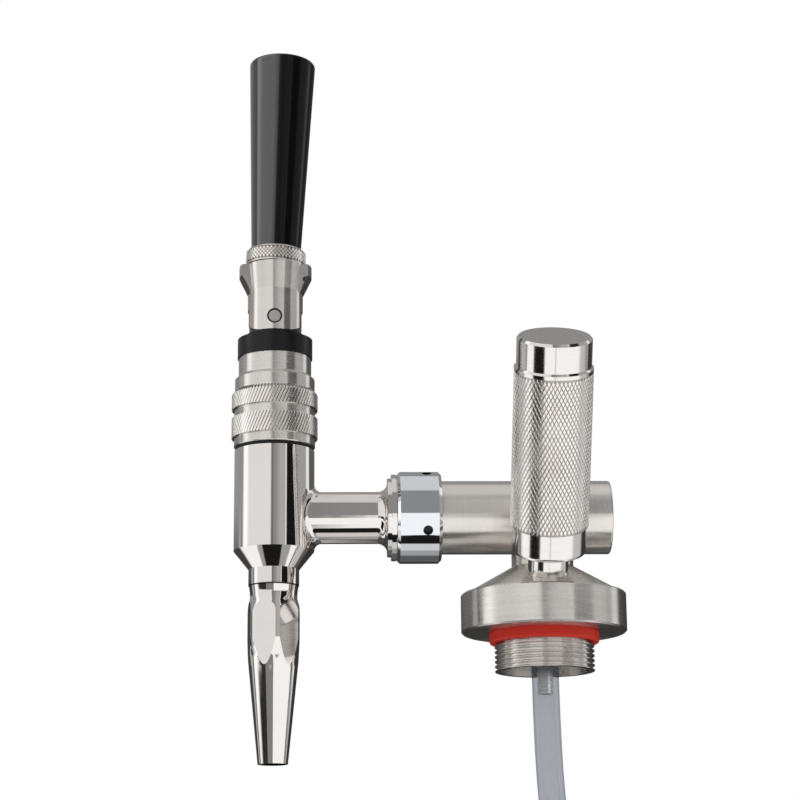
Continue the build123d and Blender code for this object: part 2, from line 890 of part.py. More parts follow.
# Bonnet: knurled cap nut over the collar, with the spring's room under its roof
with BuildPart() as bonnet:
    with BuildSketch(faucet_section):
        with BuildLine():
            Polyline(
                (collar_radius + thread_gap, bonnet_foot),
                (bonnet_skirt_radius, bonnet_foot),
                (bonnet_skirt_radius, knurl_low),
                (bonnet_knurl_radius, knurl_low),
                (bonnet_knurl_radius, groove_low),
                (bonnet_groove_radius, groove_low),
                (bonnet_groove_radius, knurl_high),
                (bonnet_knurl_radius, knurl_high),
                (bonnet_knurl_radius, shoulder_low - bonnet_knurl_chamfer),
                (bonnet_shoulder_radius, shoulder_low),
                (bonnet_shoulder_radius, shoulder_high - bonnet_shoulder_chamfer),
                (bonnet_top_radius, shoulder_high),
                (bonnet_top_radius, bonnet_top),
                (shaft_radius + loose_gap, bonnet_top),
                (shaft_radius + loose_gap, roof_low),
                (spring_room_radius, roof_low),
                (spring_room_radius, guide_top + fixed_gap),
                (collar_radius + thread_gap, guide_top + fixed_gap),
                close=True,
            )
        make_face()
    revolve(axis=faucet_axis)
finish(bonnet, "bonnet")

# Cam ring that the lever's foot rocks on
with BuildPart() as cam_ring:
    with BuildSketch(faucet_section):
        with BuildLine():
            Polyline(
                (shaft_radius + loose_gap, bonnet_top + fixed_gap),
                (cam_ring_radius, bonnet_top + fixed_gap),
                (cam_ring_radius, pad_low),
                (cam_pad_radius, pad_low),
                (cam_pad_radius, pad_top),
                (shaft_radius + loose_gap, pad_top),
                close=True,
            )
        make_face()
    revolve(axis=faucet_axis)
finish(cam_ring, "cam_ring")

# Nozzle: long taper with six wrench flats, screwed into the neck
nozzle_top = neck_foot - nozzle_spigot_gap
spigot_top = nozzle_top + nozzle_spigot_length
waist_level = nozzle_top - nozzle_waist_drop
belly_top = nozzle_top - nozzle_belly_drop
belly_foot = belly_top - nozzle_belly_length
nozzle_ring_level = nozzle_top + nozzle_ring_height
nozzle_ring_middle = nozzle_spigot_radius - nozzle_ring_section
ring_groove_radius = nozzle_ring_middle - nozzle_ring_section
ring_groove_low = nozzle_ring_level - nozzle_ring_section - fixed_gap
ring_groove_high = nozzle_ring_level + nozzle_ring_section + fixed_gap
disc_seat = spigot_top - disc_thickness - fixed_gap
with BuildPart() as nozzle:
    with BuildSketch(faucet_section):
        with BuildLine():
            Polyline(
                (nozzle_bore, tip_level),
                (nozzle_tip_radius, tip_level),
                (nozzle_belly_radius, belly_foot),
                (nozzle_belly_radius, belly_top),
            )
            Spline(
                (nozzle_belly_radius, belly_top),
                (nozzle_waist_radius, waist_level),
                (nozzle_top_radius, nozzle_top),
                tangents=[(0, 1), (0.15, 1)],
            )
            Polyline(
                (nozzle_top_radius, nozzle_top),
                (nozzle_spigot_radius, nozzle_top),
                (nozzle_spigot_radius, ring_groove_low),
                (ring_groove_radius, ring_groove_low),
                (ring_groove_radius, ring_groove_high),
                (nozzle_spigot_radius, ring_groove_high),
                (nozzle_spigot_radius, spigot_top),
                (disc_radius, spigot_top),
                (disc_radius, disc_seat),
                (nozzle_bore, disc_seat),
                (nozzle_bore, tip_level),
            )
        make_face()
    revolve(axis=faucet_axis)
    with BuildSketch(Plane(origin=(-faucet_reach, 0, waist_level))):
        Circle(body_radius)
        RegularPolygon(
            radius=nozzle_flat_radius,
            side_count=6,
            major_radius=False,
            rotation=nozzle_flat_turn,
            mode=Mode.SUBTRACT,
        )
    extrude(amount=-nozzle_flat_length, mode=Mode.SUBTRACT)
finish(nozzle, "nozzle")

nozzle_o_ring = o_ring_piece(
    faucet_section,
    faucet_axis,
    nozzle_ring_middle + fixed_gap,
    nozzle_ring_level,
    nozzle_ring_section,
)
finish(nozzle_o_ring, "nozzle_o_ring")

# Restrictor disc on top of the nozzle's bore
with BuildPart() as restrictor_disc:
    with BuildSketch(Plane(origin=(-faucet_reach, 0, spigot_top - disc_thickness))):
        Circle(disc_radius - slip_gap)
        with PolarLocations(disc_hole_circle, disc_hole_count):
            Circle(disc_hole_radius, mode=Mode.SUBTRACT)
    extrude(amount=disc_thickness)
finish(restrictor_disc, "restrictor_disc")

# Flow straightener: a thin tube with crossed vanes under the disc
straightener_radius = nozzle_bore - slip_gap
with BuildPart() as flow_straightener:
    with BuildSketch(Plane(origin=(-faucet_reach, 0, disc_seat))):
        Circle(straightener_radius)
        Circle(straightener_radius - vane_tube_wall, mode=Mode.SUBTRACT)
        Rectangle(2 * straightener_radius - vane_tube_wall, vane_thickness)
        Rectangle(vane_thickness, 2 * straightener_radius - vane_tube_wall)
    extrude(amount=-vane_length)
finish(flow_straightener, "flow_straightener")

# Plunger shaft: eye at the top, clip groove, and the head that carries the seal
head_foot = seat_level + face_gap + seal_thickness + fixed_gap
clip_level = guide_top + loose_gap
lift = cam_gain * radians(lever_turn)
eye_low = pad_top - lift - loose_gap
with BuildPart() as plunger_shaft:
    with BuildSketch(faucet_section):
        with BuildLine():
            Polyline(
                (0, head_foot),
                (head_radius, head_foot),
                (head_radius, head_foot + head_thickness),
                (shaft_radius, head_foot + head_thickness),
                (shaft_radius, clip_level - fixed_gap),
                (shaft_radius - clip_groove_depth, clip_level - fixed_gap),
                (shaft_radius - clip_groove_depth, clip_level + clip_thickness + fixed_gap),
                (shaft_radius, clip_level + clip_thickness + fixed_gap),
                (shaft_radius, pin_level),
                (0, pin_level),
                close=True,
            )
        make_face()
    revolve(axis=faucet_axis)
    with BuildSketch(lever_section):
        Circle(shaft_eye_radius)
    extrude(amount=shaft_eye_thickness / 2, both=True)
    with BuildSketch(Plane(origin=(-faucet_reach, 0, eye_low))):
        Rectangle(4 * shaft_radius, 4 * shaft_radius)
        Rectangle(4 * shaft_radius, shaft_eye_thickness, mode=Mode.SUBTRACT)
    extrude(amount=pin_level - eye_low, mode=Mode.SUBTRACT)
    with BuildSketch(lever_section):
        Circle(pin_radius + slip_gap)
    extrude(amount=shaft_eye_thickness, both=True, mode=Mode.SUBTRACT)
    with BuildSketch(Plane(origin=(-faucet_reach, 0, head_foot))):
        Circle(screw_radius + fixed_gap)
    extrude(amount=screw_length - seal_thickness + face_gap, mode=Mode.SUBTRACT)
finish(plunger_shaft, "plunger_shaft")

# Rubber seal and the screw that holds it
seal_foot = seat_level + face_gap
valve_seal = ring_piece(
    faucet_section,
    faucet_axis,
    screw_radius + slip_gap,
    seal_radius,
    seal_foot,
    seal_foot + seal_thickness,
)
finish(valve_seal, "valve_seal")

with BuildPart() as seal_screw:
    with BuildSketch(Plane(origin=(-faucet_reach, 0, seal_foot - fixed_gap))):
        Circle(screw_head_radius)
    extrude(amount=-screw_head_height)
    with BuildSketch(Plane(origin=(-faucet_reach, 0, seal_foot - fixed_gap))):
        Circle(screw_radius)
    extrude(amount=screw_length)
finish(seal_screw, "seal_screw")

# Clip, washer and return spring on the shaft
retaining_clip = ring_piece(
    faucet_section,
    faucet_axis,
    shaft_radius - clip_groove_depth + fixed_gap,
    clip_radius,
    clip_level,
    clip_level + clip_thickness,
)
finish(retaining_clip, "retaining_clip")

washer_low = clip_level + clip_thickness + fixed_gap
washer_top = washer_low + spring_washer_thickness
spring_washer = ring_piece(
    faucet_section,
    faucet_axis,
    shaft_radius + slip_gap,
    spring_washer_radius,
    washer_low,
    washer_top,
)
finish(spring_washer, "spring_washer")

spring_low = washer_top + spring_wire + fixed_gap
spring_high = roof_low - spring_wire - loose_gap
with BuildPart() as return_spring:
    with BuildLine() as spring_path:
        Helix(
            pitch=(spring_high - spring_low) / spring_turns,
            height=spring_high - spring_low,
            radius=spring_radius,
            center=(-faucet_reach, 0, spring_low),
        )
    with BuildSketch(Plane(origin=spring_path.line @ 0, z_dir=spring_path.line % 0)):
        Circle(spring_wire)
    sweep(path=spring_path.line, is_frenet=True)
finish(return_spring, "return_spring")


# Lever yoke: tapered core, side wings, cam-shaped foot, slot for the shaft's eye
def cam_point(turn):
    """The point of the foot, from the pin, that bears on the pad at this turn of the lever."""
    reach = pin_above_pad - face_gap + cam_gain * turn
    side = cam_gain * cos(turn) + reach * sin(turn)
    height = cam_gain * sin(turn) - reach * cos(turn)
    return side, height


cam_turns = [radians(lever_turn) * i / cam_steps for i in range(cam_steps + 1)]
right_foot = [cam_point(turn) for turn in cam_turns]
left_foot = [(-side, height) for side, height in right_foot]
cam_width = wing_radius + loose_gap
edge_rise = (cam_width - right_foot[-1][0]) * tan(radians(lever_turn))
edge_level = right_foot[-1][1] + edge_rise
cam_roof = yoke_top + wing_radius - pin_level
foot_slope = (cos(radians(lever_turn)), sin(radians(lever_turn)))
slot_half = shaft_eye_thickness / 2 + slot_side_gap
slot_top = shaft_eye_radius + loose_gap
taper_level = pin_level + yoke_taper_above_pin
wing_top = yoke_top - wing_top_drop
wing_low = wing_top - wing_face_height
with BuildPart() as lever_yoke:
    with BuildSketch(faucet_section):
        with BuildLine():
            Polyline(
                (0, yoke_top),
                (yoke_top_radius, yoke_top),
                (wing_radius, wing_top),
                (wing_radius, wing_low),
                (yoke_foot_radius, wing_low - wing_taper_height),
                (0, wing_low - wing_taper_height),
                close=True,
            )
        make_face()
    revolve(axis=faucet_axis)
    with BuildSketch(Plane(origin=(-faucet_reach, 0, pad_top))):
        Rectangle(4 * wing_radius, 2 * wing_half_width)
    extrude(amount=2 * yoke_height, mode=Mode.INTERSECT)
    with BuildSketch(faucet_section):
        with BuildLine():
            Polyline(
                (0, yoke_top),
                (yoke_top_radius, yoke_top),
                (yoke_foot_radius, taper_level),
                (yoke_foot_radius, pad_top),
                (0, pad_top),
                close=True,
            )
        make_face()
    revolve(axis=faucet_axis)
    with BuildSketch(lever_section):
        with BuildLine():
            Spline(*right_foot, tangents=[(1, 0), foot_slope])
            Polyline(
                right_foot[-1],
                (cam_width, edge_level),
                (cam_width, cam_roof),
                (-cam_width, cam_roof),
                (-cam_width, edge_level),
                left_foot[-1],
            )
            Spline(*reversed(left_foot), tangents=[(foot_slope[0], -foot_slope[1]), (1, 0)])
            Line(left_foot[0], right_foot[0])
        make_face()
    extrude(amount=2 * wing_radius, both=True, mode=Mode.INTERSECT)
    with BuildSketch(lever_section):
        with Locations((0, (slot_top - yoke_height) / 2)):
            Rectangle(4 * wing_radius, slot_top + yoke_height)
    extrude(amount=slot_half, both=True, mode=Mode.SUBTRACT)
    with BuildSketch(lever_section):
        Circle(pin_radius + fixed_gap)
    extrude(amount=2 * wing_radius, both=True, mode=Mode.SUBTRACT)
    for side in (-1, 1):
        recess_floor = Plane(
            origin=(-faucet_reach, side * (yoke_foot_radius - pin_recess_depth), pin_level),
            z_dir=(0, side, 0),
        )
        with BuildSketch(recess_floor):
            Circle(pin_recess_radius)
        extrude(amount=2 * pin_recess_depth, mode=Mode.SUBTRACT)
    with BuildSketch(faucet_section):
        with Locations((wing_hole_offset, yoke_top - wing_hole_drop)):
            Circle(wing_hole_radius)
    extrude(amount=2 * wing_half_width, both=True, mode=Mode.SUBTRACT)
    with BuildSketch(handle_plane.offset(stud_radius)):
        Circle(stud_radius + fixed_gap)
    extrude(amount=-stud_in_yoke - stud_radius, mode=Mode.SUBTRACT)
finish(lever_yoke, "lever_yoke")

# Pivot pin through both cheeks and the eye
pin_half = yoke_foot_radius - pin_inset
with BuildPart() as pivot_pin:
    with BuildSketch(lever_section):
        Circle(pin_radius)
    extrude(amount=pin_half, both=True)
finish(pivot_pin, "pivot_pin")

# Stud, lock ring, handle and its insert, which lean together
ring_low = fixed_gap
handle_foot = ring_low + lock_ring_height + fixed_gap
with BuildPart() as handle_stud:
    with BuildSketch(handle_plane.offset(face_gap - stud_in_yoke)):
        Circle(stud_radius)
    extrude(amount=stud_in_yoke - face_gap + handle_foot + stud_in_handle)
finish(handle_stud, "handle_stud")

with BuildPart() as lock_ring:
    with BuildSketch(handle_section):
        with BuildLine():
            Polyline(
                (stud_radius + slip_gap, ring_low),
                (lock_ring_lip_radius, ring_low),
                (lock_ring_lip_radius, ring_low + lock_ring_lip),
                (lock_ring_radius, ring_low + lock_ring_lip),
                (lock_ring_radius, ring_low + lock_ring_height - lock_ring_chamfer),
                (lock_ring_radius - lock_ring_chamfer, ring_low + lock_ring_height),
                (stud_radius + slip_gap, ring_low + lock_ring_height),
                close=True,
            )
        make_face()
    revolve(axis=handle_axis)
finish(lock_ring, "lock_ring")

insert_bore = insert_radius + fixed_gap
insert_top = handle_foot + insert_length
handle_top = handle_foot + handle_length
rim_top = handle_top - handle_crown
rim_radius = handle_head_radius - handle_round
rim_bend = handle_round * (1 - cos(radians(45)))
crown_radius = (rim_radius**2 + handle_crown**2) / (2 * handle_crown)
with BuildPart() as handle:
    with BuildSketch(handle_section):
        with BuildLine():
            Polyline(
                (insert_bore, handle_foot),
                (handle_foot_radius, handle_foot),
                (handle_head_radius, rim_top - handle_round),
            )
            ThreePointArc(
                (handle_head_radius, rim_top - handle_round),
                (handle_head_radius - rim_bend, rim_top - rim_bend),
                (rim_radius, rim_top),
            )
            RadiusArc((rim_radius, rim_top), (0, handle_top), -crown_radius)
            Polyline(
                (0, handle_top),
                (0, insert_top + face_gap),
                (insert_bore, insert_top + face_gap),
                (insert_bore, handle_foot),
            )
        make_face()
    revolve(axis=handle_axis)
finish(handle, "handle")

handle_insert = ring_piece(
    handle_section,
    handle_axis,
    stud_radius + fixed_gap,
    insert_radius,
    handle_foot,
    insert_top,
)
finish(handle_insert, "handle_insert")
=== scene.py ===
import json
import math

import bpy
from bpy.props import FloatProperty, FloatVectorProperty, IntProperty, PointerProperty
from bpy.types import Operator, Panel, PropertyGroup
from mathutils import Matrix, Vector


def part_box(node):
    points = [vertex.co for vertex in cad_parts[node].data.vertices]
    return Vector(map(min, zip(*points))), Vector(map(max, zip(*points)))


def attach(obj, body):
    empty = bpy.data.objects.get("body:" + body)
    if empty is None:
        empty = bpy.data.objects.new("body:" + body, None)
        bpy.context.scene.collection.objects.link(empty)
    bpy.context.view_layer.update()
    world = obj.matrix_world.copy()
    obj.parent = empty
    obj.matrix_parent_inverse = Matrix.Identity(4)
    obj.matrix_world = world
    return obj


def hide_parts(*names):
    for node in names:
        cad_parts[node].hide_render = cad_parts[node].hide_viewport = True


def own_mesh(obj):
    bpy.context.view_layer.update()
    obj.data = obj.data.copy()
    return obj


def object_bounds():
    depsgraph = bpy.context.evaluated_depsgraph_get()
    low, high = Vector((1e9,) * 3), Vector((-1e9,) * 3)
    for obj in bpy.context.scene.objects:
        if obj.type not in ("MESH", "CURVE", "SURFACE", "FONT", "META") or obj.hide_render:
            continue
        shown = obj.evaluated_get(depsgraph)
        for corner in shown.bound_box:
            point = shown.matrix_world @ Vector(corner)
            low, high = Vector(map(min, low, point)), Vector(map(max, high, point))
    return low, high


bl_info = {
    "name": "Nitro Coffee Tap",
    "version": (1, 0, 0),
    "blender": (4, 5, 0),
    "location": "View3D > Sidebar > Tap",
    "description": "Models a nitro coffee tap's knurled pieces and hose, and gives every piece its finish",
    "category": "Object",
}

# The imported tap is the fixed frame: millimetres become metres here, and +Z is up
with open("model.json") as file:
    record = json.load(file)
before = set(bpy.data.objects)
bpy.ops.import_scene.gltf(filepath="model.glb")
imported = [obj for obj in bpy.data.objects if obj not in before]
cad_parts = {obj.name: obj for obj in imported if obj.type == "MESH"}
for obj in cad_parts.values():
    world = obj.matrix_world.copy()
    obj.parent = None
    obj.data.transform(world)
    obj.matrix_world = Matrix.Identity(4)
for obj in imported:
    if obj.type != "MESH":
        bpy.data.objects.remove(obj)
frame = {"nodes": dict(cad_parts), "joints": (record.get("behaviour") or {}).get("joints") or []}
cad_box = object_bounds()
MM = 0.001
UP = (0.0, 0.0, 1.0)
# Steps of a turned piece's spin, and how close two heights are that are meant to be the same
SPIN_STEPS = 144
SAME_LEVEL = 0.001 * MM
# How far a knurl's ring reaches below its grooves, and how far its body stays below them
KNURL_WALL = 0.3 * MM
KNURL_GAP = 0.12 * MM
# Width of a diamond's flank, and lines and rows of the tube that slanted ridges are made from
DIAMOND_FLANK = 0.22 * MM
LINES_PER_RIDGE = 4
RIDGE_ROWS = 5


def joint_named(name):
    """The record's joint of that name."""
    return next(joint for joint in frame["joints"] if joint["name"] == name)


faucet_low, faucet_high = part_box("bonnet")
FAUCET_X = (faucet_low.x + faucet_high.x) / 2
BONNET_FOOT = faucet_low.z
SHANK_Z = sum(corner.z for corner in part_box("shank_tube")) / 2
PORT_PLACE = Vector(joint_named("sleeve_turn")["pos_m"])
PORT_TURN = Vector(UP).rotation_difference(Vector(joint_named("sleeve_turn")["axis"]))
HANDLE_LEAN = math.radians(1.6)
LOCK_RING_RADIUS = 11.7 * MM
RING_SEAT = Vector((FAUCET_X, 0.0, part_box("lever_yoke")[1].z + LOCK_RING_RADIUS * math.sin(HANDLE_LEAN)))
HANDLE_TURN = Matrix.Rotation(HANDLE_LEAN, 3, "Y").to_quaternion()


# ---- Properties -----------------------------------------------------------


def size_property(name, description, default):
    """A length in metres that the sidebar shows in scene units."""
    return FloatProperty(
        name=name, description=description, default=default, unit="LENGTH", precision=5, min=0.0
    )


def colour_property(name, description, default):
    """A linear colour without alpha."""
    return FloatVectorProperty(
        name=name, description=description, default=default, subtype="COLOR", size=3, min=0.0, max=1.0
    )


class TapSizes(PropertyGroup):
    """Sizes of the pieces that are modelled here."""

    sleeve_knurl_depth: size_property("Sleeve Knurl Depth", "Depth of the grip's diamonds", 0.28 * MM)
    sleeve_diamonds: IntProperty(
        name="Sleeve Diamonds", description="Diamonds round the sleeve's grip", default=60, min=12
    )
    sleeve_rows: IntProperty(
        name="Sleeve Rows", description="Rows of diamonds along the sleeve's grip", default=20, min=3
    )
    ring_knurl_depth: size_property("Ring Knurl Depth", "Depth of the lock ring's diamonds", 0.26 * MM)
    ring_diamonds: IntProperty(
        name="Ring Diamonds", description="Diamonds round the lock ring", default=48, min=12
    )
    ring_rows: IntProperty(
        name="Ring Rows", description="Rows of diamonds on the lock ring", default=3, min=1
    )
    bonnet_knurl_depth: size_property("Bonnet Knurl Depth", "Depth of the slanted grooves", 0.4 * MM)
    bonnet_ridges: IntProperty(
        name="Bonnet Ridges", description="Slanted ridges round each of the bonnet's bands", default=78, min=12
    )
    bonnet_slant: FloatProperty(
        name="Bonnet Slant",
        description="Angle between the bonnet's ridges and its axis",
        default=math.radians(24),
        subtype="ANGLE",
    )
    edge_round: size_property("Edge Round", "Width of the rounded edges on turned pieces", 0.16 * MM)
    hose_radius: size_property("Hose Radius", "Outside radius of the dip tube", 5.1 * MM)
    hose_bore: size_property("Hose Bore", "Bore radius of the dip tube", 3.2 * MM)


class TapColours(PropertyGroup):
    """Colours of the finishes."""

    steel: colour_property("Steel", "Brushed and satin stainless steel", (0.80, 0.765, 0.73))
    mirror: colour_property("Mirror Steel", "Mirror polished stainless steel", (0.83, 0.80, 0.775))
    chrome: colour_property("Chrome", "Bright chrome plate", (0.80, 0.82, 0.86))
    handle: colour_property("Handle", "Gloss black plastic", (0.0022, 0.0022, 0.0027))
    cam_ring: colour_property("Cam Ring", "Satin black plastic", (0.004, 0.004, 0.0045))
    silicone: colour_property("Silicone", "Red silicone gasket", (0.43, 0.016, 0.006))
    rubber: colour_property("Rubber", "Black seal rubber", (0.006, 0.006, 0.006))
    hose: colour_property("Hose", "Translucent hose", (0.385, 0.40, 0.435))
    brass: colour_property("Brass", "Machined brass", (0.72, 0.53, 0.24))
    acetal: colour_property("Acetal", "Natural white plastic", (0.80, 0.79, 0.75))


# ---- Modelling helpers ----------------------------------------------------


def deselect():
    """Leave edit mode and deselect everything."""
    if bpy.context.object and bpy.context.object.mode != "OBJECT":
        bpy.ops.object.mode_set(mode="OBJECT")
    bpy.ops.object.select_all(action="DESELECT")


def activate(piece):
    """Select one object alone and make it the active one."""
    deselect()
    piece.select_set(True)
    bpy.context.view_layer.objects.active = piece


def select_parts(piece, vertices=None, edges=None, faces=None):
    """Select parts of a mesh by a test, and go into edit mode with them selected."""
    activate(piece)
    bpy.ops.object.mode_set(mode="EDIT")
    kind = "VERT" if vertices else "EDGE" if edges else "FACE"
    bpy.ops.mesh.select_mode(type=kind)
    bpy.ops.mesh.select_all(action="DESELECT")
    bpy.ops.object.mode_set(mode="OBJECT")
    test = vertices or edges or faces
    parts = {"VERT": piece.data.vertices, "EDGE": piece.data.edges, "FACE": piece.data.polygons}[kind]
    for part in parts:
        part.select = bool(test(part))
    bpy.ops.object.mode_set(mode="EDIT")


def turn_outline(name, outline):
    """Draw a closed outline of (radius, height) points by extruding one vertex, and spin it about +Z."""
    deselect()
    bpy.ops.mesh.primitive_plane_add(size=MM)
    piece = bpy.context.object
    piece.name = name
    piece.data.name = name
    bpy.ops.object.mode_set(mode="EDIT")
    bpy.ops.mesh.select_mode(type="VERT")
    bpy.ops.mesh.select_all(action="SELECT")
    bpy.ops.mesh.merge(type="CENTER")
    bpy.ops.transform.translate(value=(outline[0][0], 0.0, outline[0][1]))
    for (radius, height), (next_radius, next_height) in zip(outline, [*outline[1:], outline[0]]):
        step = (next_radius - radius, 0.0, next_height - height)
        bpy.ops.mesh.extrude_vertices_move(TRANSFORM_OT_translate={"value": step})
    bpy.ops.mesh.select_all(action="SELECT")
    bpy.ops.mesh.spin(steps=SPIN_STEPS, angle=math.tau, center=(0.0, 0.0, 0.0), axis=UP)
    bpy.ops.mesh.select_all(action="SELECT")
    bpy.ops.mesh.remove_doubles(threshold=0.002 * MM)
    bpy.ops.mesh.normals_make_consistent(inside=False)
    bpy.ops.object.mode_set(mode="OBJECT")
    return piece


def round_edges(piece, width):
    """Bevel the turned edges, smooth the rest, and let broad faces keep their own normals."""
    activate(piece)
    bevel = piece.modifiers.new("round edges", "BEVEL")
    bevel.width = width
    bevel.segments = 2
    bevel.limit_method = "ANGLE"
    bevel.angle_limit = math.radians(25)
    bpy.ops.object.modifier_apply(modifier=bevel.name)
    bpy.ops.object.shade_smooth_by_angle(angle=math.radians(32))
    weigh = piece.modifiers.new("keep broad faces true", "WEIGHTED_NORMAL")
    weigh.mode = "FACE_AREA"
    weigh.weight = 90
    weigh.keep_sharp = True
    bpy.ops.object.modifier_apply(modifier=weigh.name)


def open_tube(name, sides, radius, low, high, rows):
    """A tube without ends, cut into rows."""
    deselect()
    bpy.ops.mesh.primitive_cylinder_add(
        vertices=sides,
        radius=radius,
        depth=high - low,
        end_fill_type="NOTHING",
        location=(0.0, 0.0, (low + high) / 2),
    )
    piece = bpy.context.object
    piece.name = name
    piece.data.name = name
    bpy.ops.object.transform_apply(location=True, rotation=True, scale=True)
    points = piece.data.vertices

    def upright(edge):
        """An edge between the tube's two rims."""
        first, second = (points[i].co.z for i in edge.vertices)
        return abs(first - second) > SAME_LEVEL

    select_parts(piece, edges=upright)
    if rows > 1:
        bpy.ops.mesh.subdivide(number_cuts=rows - 1)
    bpy.ops.object.mode_set(mode="OBJECT")
    return piece


def close_band(piece, low, high, inner):
    """Draw both rims of an open band inwards and bridge them, which makes it a closed ring."""
    for level in (low, high):
        select_parts(piece, vertices=lambda point: abs(point.co.z - level) < SAME_LEVEL)
        bpy.ops.mesh.extrude_region_move()
        bpy.ops.object.mode_set(mode="OBJECT")
        reach = max(Vector(point.co[:2]).length for point in piece.data.vertices if point.select)
        bpy.ops.object.mode_set(mode="EDIT")
        bpy.ops.transform.resize(value=(inner / reach, inner / reach, 1.0), center_override=(0.0, 0.0, level))
        bpy.ops.object.mode_set(mode="OBJECT")
    just_past = inner * 1.0005
    select_parts(piece, vertices=lambda point: Vector(point.co[:2]).length < just_past)
    bpy.ops.mesh.select_mode(type="EDGE")
    bpy.ops.mesh.bridge_edge_loops()
    bpy.ops.mesh.select_all(action="SELECT")
    bpy.ops.mesh.normals_make_consistent(inside=False)
    bpy.ops.object.mode_set(mode="OBJECT")


def diamond_band(name, radius, depth, low, high, around, rows):
    """A band of flat-topped diamonds: a tube's squares are poked, turned into diamonds, and raised."""
    piece = open_tube(name, around, radius - depth, low, high, rows)
    grid = len(piece.data.vertices)
    select_parts(piece, faces=lambda face: True)
    bpy.ops.mesh.poke(offset=0.0)
    points = piece.data.vertices

    def square_edge(edge):
        """An edge of the first squares that doesn't lie on a rim."""
        ends = [points[i].co.z for i in edge.vertices]
        level = abs(ends[0] - ends[1]) < SAME_LEVEL
        on_rim = level and min(ends[0] - low, high - ends[0]) < SAME_LEVEL
        return max(edge.vertices) < grid and not on_rim

    select_parts(piece, edges=square_edge)
    bpy.ops.mesh.dissolve_edges(use_verts=False)
    select_parts(piece, faces=lambda face: len(face.vertices) == 4)
    bpy.ops.mesh.inset(
        thickness=DIAMOND_FLANK, depth=depth * 0.95,
        use_boundary=True, use_even_offset=True, use_individual=True,
    )
    close_band(piece, low, high, radius - depth - KNURL_WALL)
    return piece


def slanted_band(name, radius, depth, low, high, ridges, slant):
    """A band of slanted ridges with narrow grooves between them."""
    lines = ridges * LINES_PER_RIDGE
    piece = open_tube(name, lines, radius, low, high, RIDGE_ROWS)
    step = math.tau / lines

    def in_groove(point):
        """The first upright line of each ridge."""
        return round(math.atan2(point.co.y, point.co.x) / step) % LINES_PER_RIDGE == 0

    select_parts(piece, vertices=in_groove)
    share = (radius - depth) / radius
    bpy.ops.transform.resize(value=(share, share, 1.0), center_override=(0.0, 0.0, 0.0))
    for row in range(1, RIDGE_ROWS + 1):
        level = low + (high - low) * row / RIDGE_ROWS
        select_parts(piece, vertices=lambda point: abs(point.co.z - level) < SAME_LEVEL)
        turn = (level - low) * math.tan(slant) / radius
        bpy.ops.transform.rotate(value=-turn, orient_axis="Z", center_override=(0.0, 0.0, level))
    close_band(piece, low, high, radius - depth - KNURL_WALL)
    return piece


def join_pieces(body, bands):
    """Join bands to their turned body."""
    activate(body)
    for band in bands:
        band.select_set(True)
    bpy.ops.object.join()


def put_in_place(piece, place, turn=None):
    """Turn and move a piece that was modelled about +Z, and leave its place in its mesh."""
    activate(piece)
    piece.rotation_mode = "QUATERNION"
    if turn is not None:
        piece.rotation_quaternion = turn
    piece.location = place
    bpy.ops.object.transform_apply(location=True, rotation=True, scale=True)


def give_finish(piece, *finishes):
    """Put finishes on a piece's material slots."""
    piece.data.materials.clear()
    for finish in finishes:
        piece.data.materials.append(finish)


def stand_for(piece, body, node):
    """Let a finished piece ride on its body and take its CAD node's place."""
    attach(piece, body)
    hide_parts(node)


# ---- Finishes -------------------------------------------------------------


def new_group(name, inputs, outputs):
    """A shader node group with named sockets, and its input and output nodes."""
    group = bpy.data.node_groups.new(name, "ShaderNodeTree")
    for label, kind, default in inputs:
        socket = group.interface.new_socket(name=label, in_out="INPUT", socket_type=kind)
        if default is not None:
            socket.default_value = default
    for label, kind in outputs:
        group.interface.new_socket(name=label, in_out="OUTPUT", socket_type=kind)
    return group, group.nodes.new("NodeGroupInput"), group.nodes.new("NodeGroupOutput")


def math_node(tree, operation, first, second=None, third=None):
    """A Math node whose inputs are sockets or numbers."""
    node = tree.nodes.new("ShaderNodeMath")
    node.operation = operation
    for socket, value in zip(node.inputs, (first, second, third)):
        if isinstance(value, bpy.types.NodeSocket):
            tree.links.new(value, socket)
        elif value is not None:
            socket.default_value = value
    return node.outputs[0]


def noise_node(tree, vector, scale, detail, roughness=0.5, distortion=0.0):
    """A noise texture read at a vector."""
    node = tree.nodes.new("ShaderNodeTexNoise")
    node.inputs["Scale"].default_value = scale
    node.inputs["Detail"].default_value = detail
    node.inputs["Roughness"].default_value = roughness
    node.inputs["Distortion"].default_value = distortion
    tree.links.new(vector, node.inputs["Vector"])
    return node.outputs["Fac"]


def range_node(tree, value, low, high, new_low, new_high):
    """A Map Range node."""
    node = tree.nodes.new("ShaderNodeMapRange")
    node.inputs["From Min"].default_value = low
    node.inputs["From Max"].default_value = high
    node.inputs["To Min"].default_value = new_low
    node.inputs["To Max"].default_value = new_high
    tree.links.new(value, node.inputs["Value"])
    return node.outputs["Result"]


